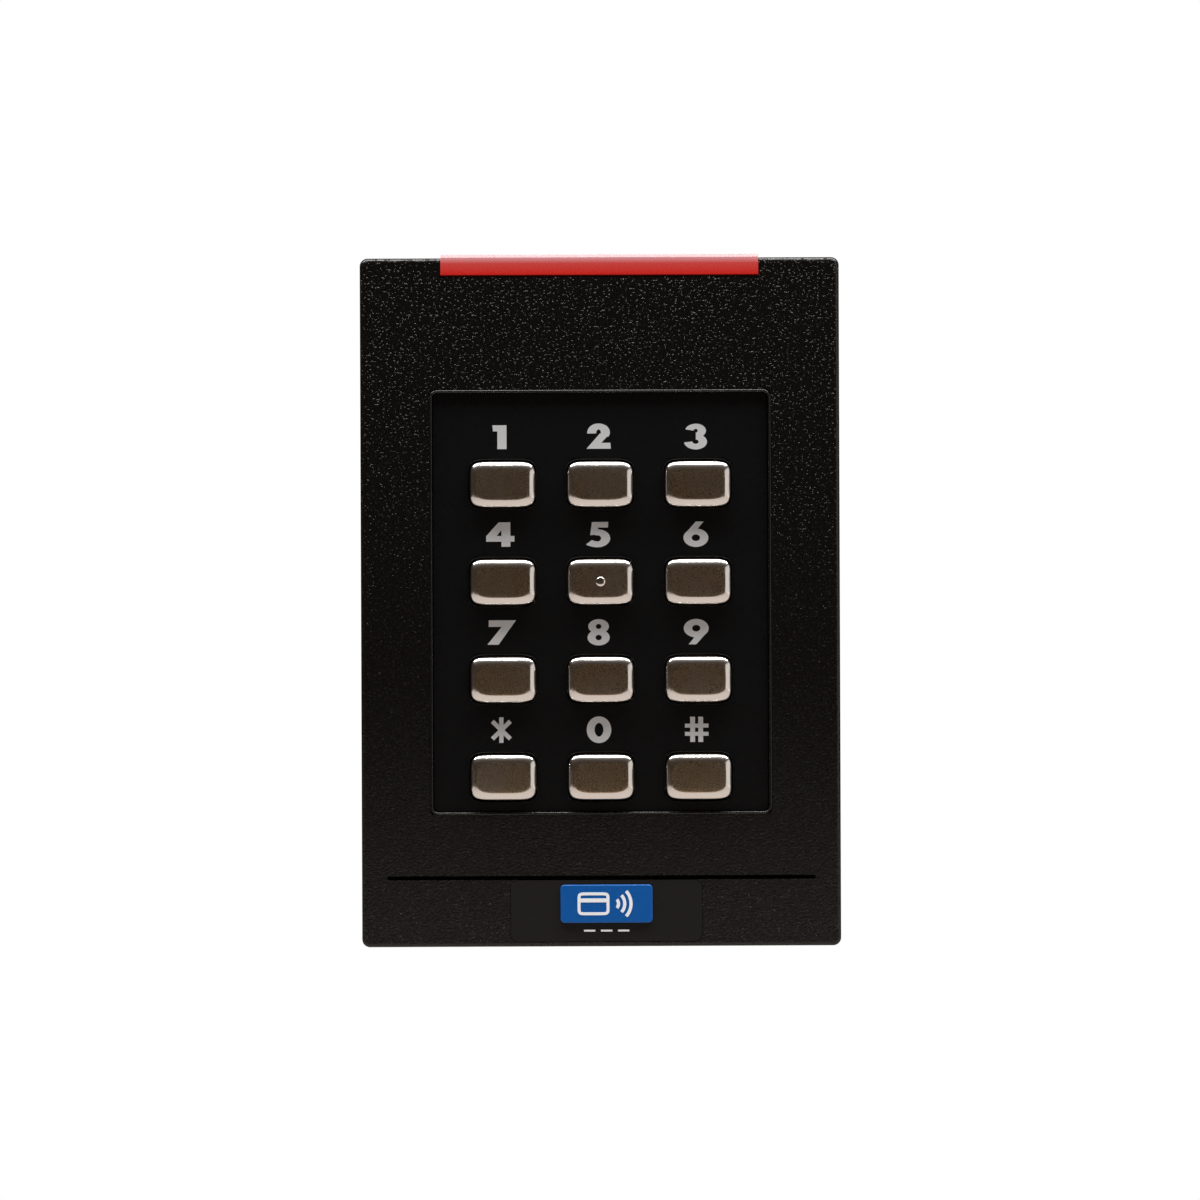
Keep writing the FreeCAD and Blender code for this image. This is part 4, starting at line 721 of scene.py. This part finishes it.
# Label: smooth black inlay under the groove; on it a small blue plaque, moulded and glued, with a printed
# card-and-waves sign and three printed dashes below. The white print has a faint painted glow.
label_black = coated("label_black", (0.0142, 0.0137, 0.0133), (0.0180, 0.0174, 0.0170), (0.42, 0.52),
                     0.25 * MM, 0.10)
label_black.node_tree.nodes["Principled BSDF"].inputs["Specular IOR Level"].default_value = 0.30
badge_blue = coated("badge_blue", (0.002, 0.138, 0.56), (0.003, 0.166, 0.65), (0.30, 0.40), 0.5 * MM, 0.03)
glowing_white_ink = coated("glowing_white_ink", (0.90, 0.92, 0.95), (0.96, 0.98, 1.0), (0.35, 0.45), 0.2 * MM, 0.04)
# Painted glow: the white ink gives off a little light of its own so that it stays bright.
glowing_white_ink.node_tree.nodes["Principled BSDF"].inputs["Emission Color"].default_value = (0.96, 0.98, 1.0, 1)
glowing_white_ink.node_tree.nodes["Principled BSDF"].inputs["Emission Strength"].default_value = 0.28
dress(label_black, "label_plate")
dress(badge_blue, "badge")
badge_low, badge_high = (np.array(corner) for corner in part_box("badge"))
badge_middle = (badge_low + badge_high)[[0, 2]] / 2
card_x, card_z = rounded_outline(2.55, 1.75, 9)
card = (np.stack([card_x - 2.3, card_z], axis=1), (0.26, 0.26))
waves = [(arc(1.0, 0, reach, reach, -42, 42, 24), (0.28, 0.28)) for reach in (1.1, 2.2, 3.3)]
stripe = [(-4.6, 0.95), (0.0, 0.95), (0.0, 0.25), (-4.6, 0.25)]
ink_piece("badge_sign", waves, [card], [stripe], badge_middle, badge_low[1], glowing_white_ink)
label_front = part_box("label_plate")[0][1]
LINE_DROP = 4.75 * MM
dashes = [[(x, 0.16), (x + 2.0, 0.16), (x + 2.0, -0.16), (x, -0.16)] for x in (-4.0, -1.0, 2.0)]
ink_piece("label_line", [], [], dashes, badge_middle - np.array((0, LINE_DROP)), label_front, glowing_white_ink)

# Studio: a pale warm shelf below the object, one broad soft light overhead with a narrow one close to the
# top edge, weak ones at the sides, and a plain white surround that only the camera sees.
FLOOR_DROP = 0.066
floor_level = cad_box[0][2] - FLOOR_DROP
bpy.ops.mesh.primitive_circle_add(vertices=128, radius=0.20, fill_type="NGON",
                                  location=(0, -0.11, floor_level))
floor = bpy.context.object
floor.scale = (5, 1, 1)
floor.name = "floor"
floor_pale = bpy.data.materials.new("floor_pale")
floor_pale.use_nodes = True
floor_pale.node_tree.nodes["Principled BSDF"].inputs["Base Color"].default_value = (0.405, 0.363, 0.335, 1)
floor_pale.node_tree.nodes["Principled BSDF"].inputs["Roughness"].default_value = 0.8
floor.data.materials.append(floor_pale)


def facing(place, target, roll=0.0):
    """Angles that point -Z from a place at a target, +Y up: the turn has side, up and back as its columns."""
    back = np.array(place, dtype=float) - np.array(target, dtype=float)
    back /= np.linalg.norm(back)
    side = np.cross((0, 0, 1), back)
    side /= np.linalg.norm(side)
    turn = np.stack([side, np.cross(back, side), back], axis=1)
    cosine, sine = np.cos(roll), np.sin(roll)
    turn = turn @ np.array([(cosine, -sine, 0), (sine, cosine, 0), (0, 0, 1)])
    return np.arctan2(turn[2, 1], turn[2, 2]), -np.arcsin(turn[2, 0]), np.arctan2(turn[1, 0], turn[0, 0])


def soft_light(name, place, target, width, height, power, colour):
    """A rectangular area light at a place, turned to face a target."""
    data = bpy.data.lights.new(name, "AREA")
    data.shape = "RECTANGLE"
    data.size, data.size_y = width, height
    data.energy = power
    data.color = colour
    light = bpy.data.objects.new(name, data)
    bpy.context.scene.collection.objects.link(light)
    light.location = place
    light.rotation_euler = facing(place, target)
    return light


soft_light("light_above", (0.0, -0.10, 0.60), (0, -0.03, 0), 1.20, 0.22, 11.6, (1.0, 0.99, 0.98))
soft_light("light_edge", (0.0, -0.062, 0.165), (0, -0.03, 0), 0.30, 0.03, 0.046, (1.0, 0.99, 0.98))
soft_light("light_right", (0.50, -0.24, -0.04), (0, -0.03, 0), 0.50, 0.72, 0.74, (1.0, 0.96, 0.93))
soft_light("light_left", (-0.45, -0.16, -0.22), (0, -0.03, 0), 0.30, 0.24, 0.14, (1.0, 0.94, 0.88))

world = bpy.data.worlds.new("surround")
bpy.context.scene.world = world
world.use_nodes = True
world_nodes, world_links = world.node_tree.nodes, world.node_tree.links
dark = world_nodes["Background"]
dark.inputs["Color"].default_value = (0.036, 0.025, 0.016, 1)
white = world_nodes.new("ShaderNodeBackground")
white.inputs["Color"].default_value = (1, 1, 1, 1)
seen = world_nodes.new("ShaderNodeLightPath")
choice = world_nodes.new("ShaderNodeMixShader")
world_links.new(seen.outputs["Is Camera Ray"], choice.inputs["Fac"])
world_links.new(dark.outputs["Background"], choice.inputs[1])
world_links.new(white.outputs["Background"], choice.inputs[2])
world_links.new(choice.outputs["Shader"], world_nodes["World Output"].inputs["Surface"])
bpy.context.scene.view_settings.view_transform = "Standard"

# Camera: a long lens 1.2 m in front of the face, 12 mm to the left of the point it aims at and 4 mm above
# it, rolled by about a fifth of a degree.
CAMERA_DISTANCE = 1.2
FRAME_WIDTH = 0.2113
camera_data = bpy.data.cameras.new("camera")
camera_data.sensor_width = 36
camera_data.lens = 36 * CAMERA_DISTANCE / FRAME_WIDTH
camera = bpy.data.objects.new("camera", camera_data)
bpy.context.scene.collection.objects.link(camera)
face_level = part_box("front_cover")[0][1]
CAMERA_ROLL = np.radians(-0.22)
aim = np.array((-0.10 * MM, face_level, 0.38 * MM))
camera_place = aim + np.array((-0.012, -CAMERA_DISTANCE, 0.004))
camera.location = camera_place
camera.rotation_euler = facing(camera_place, aim, CAMERA_ROLL)
bpy.context.scene.camera = camera
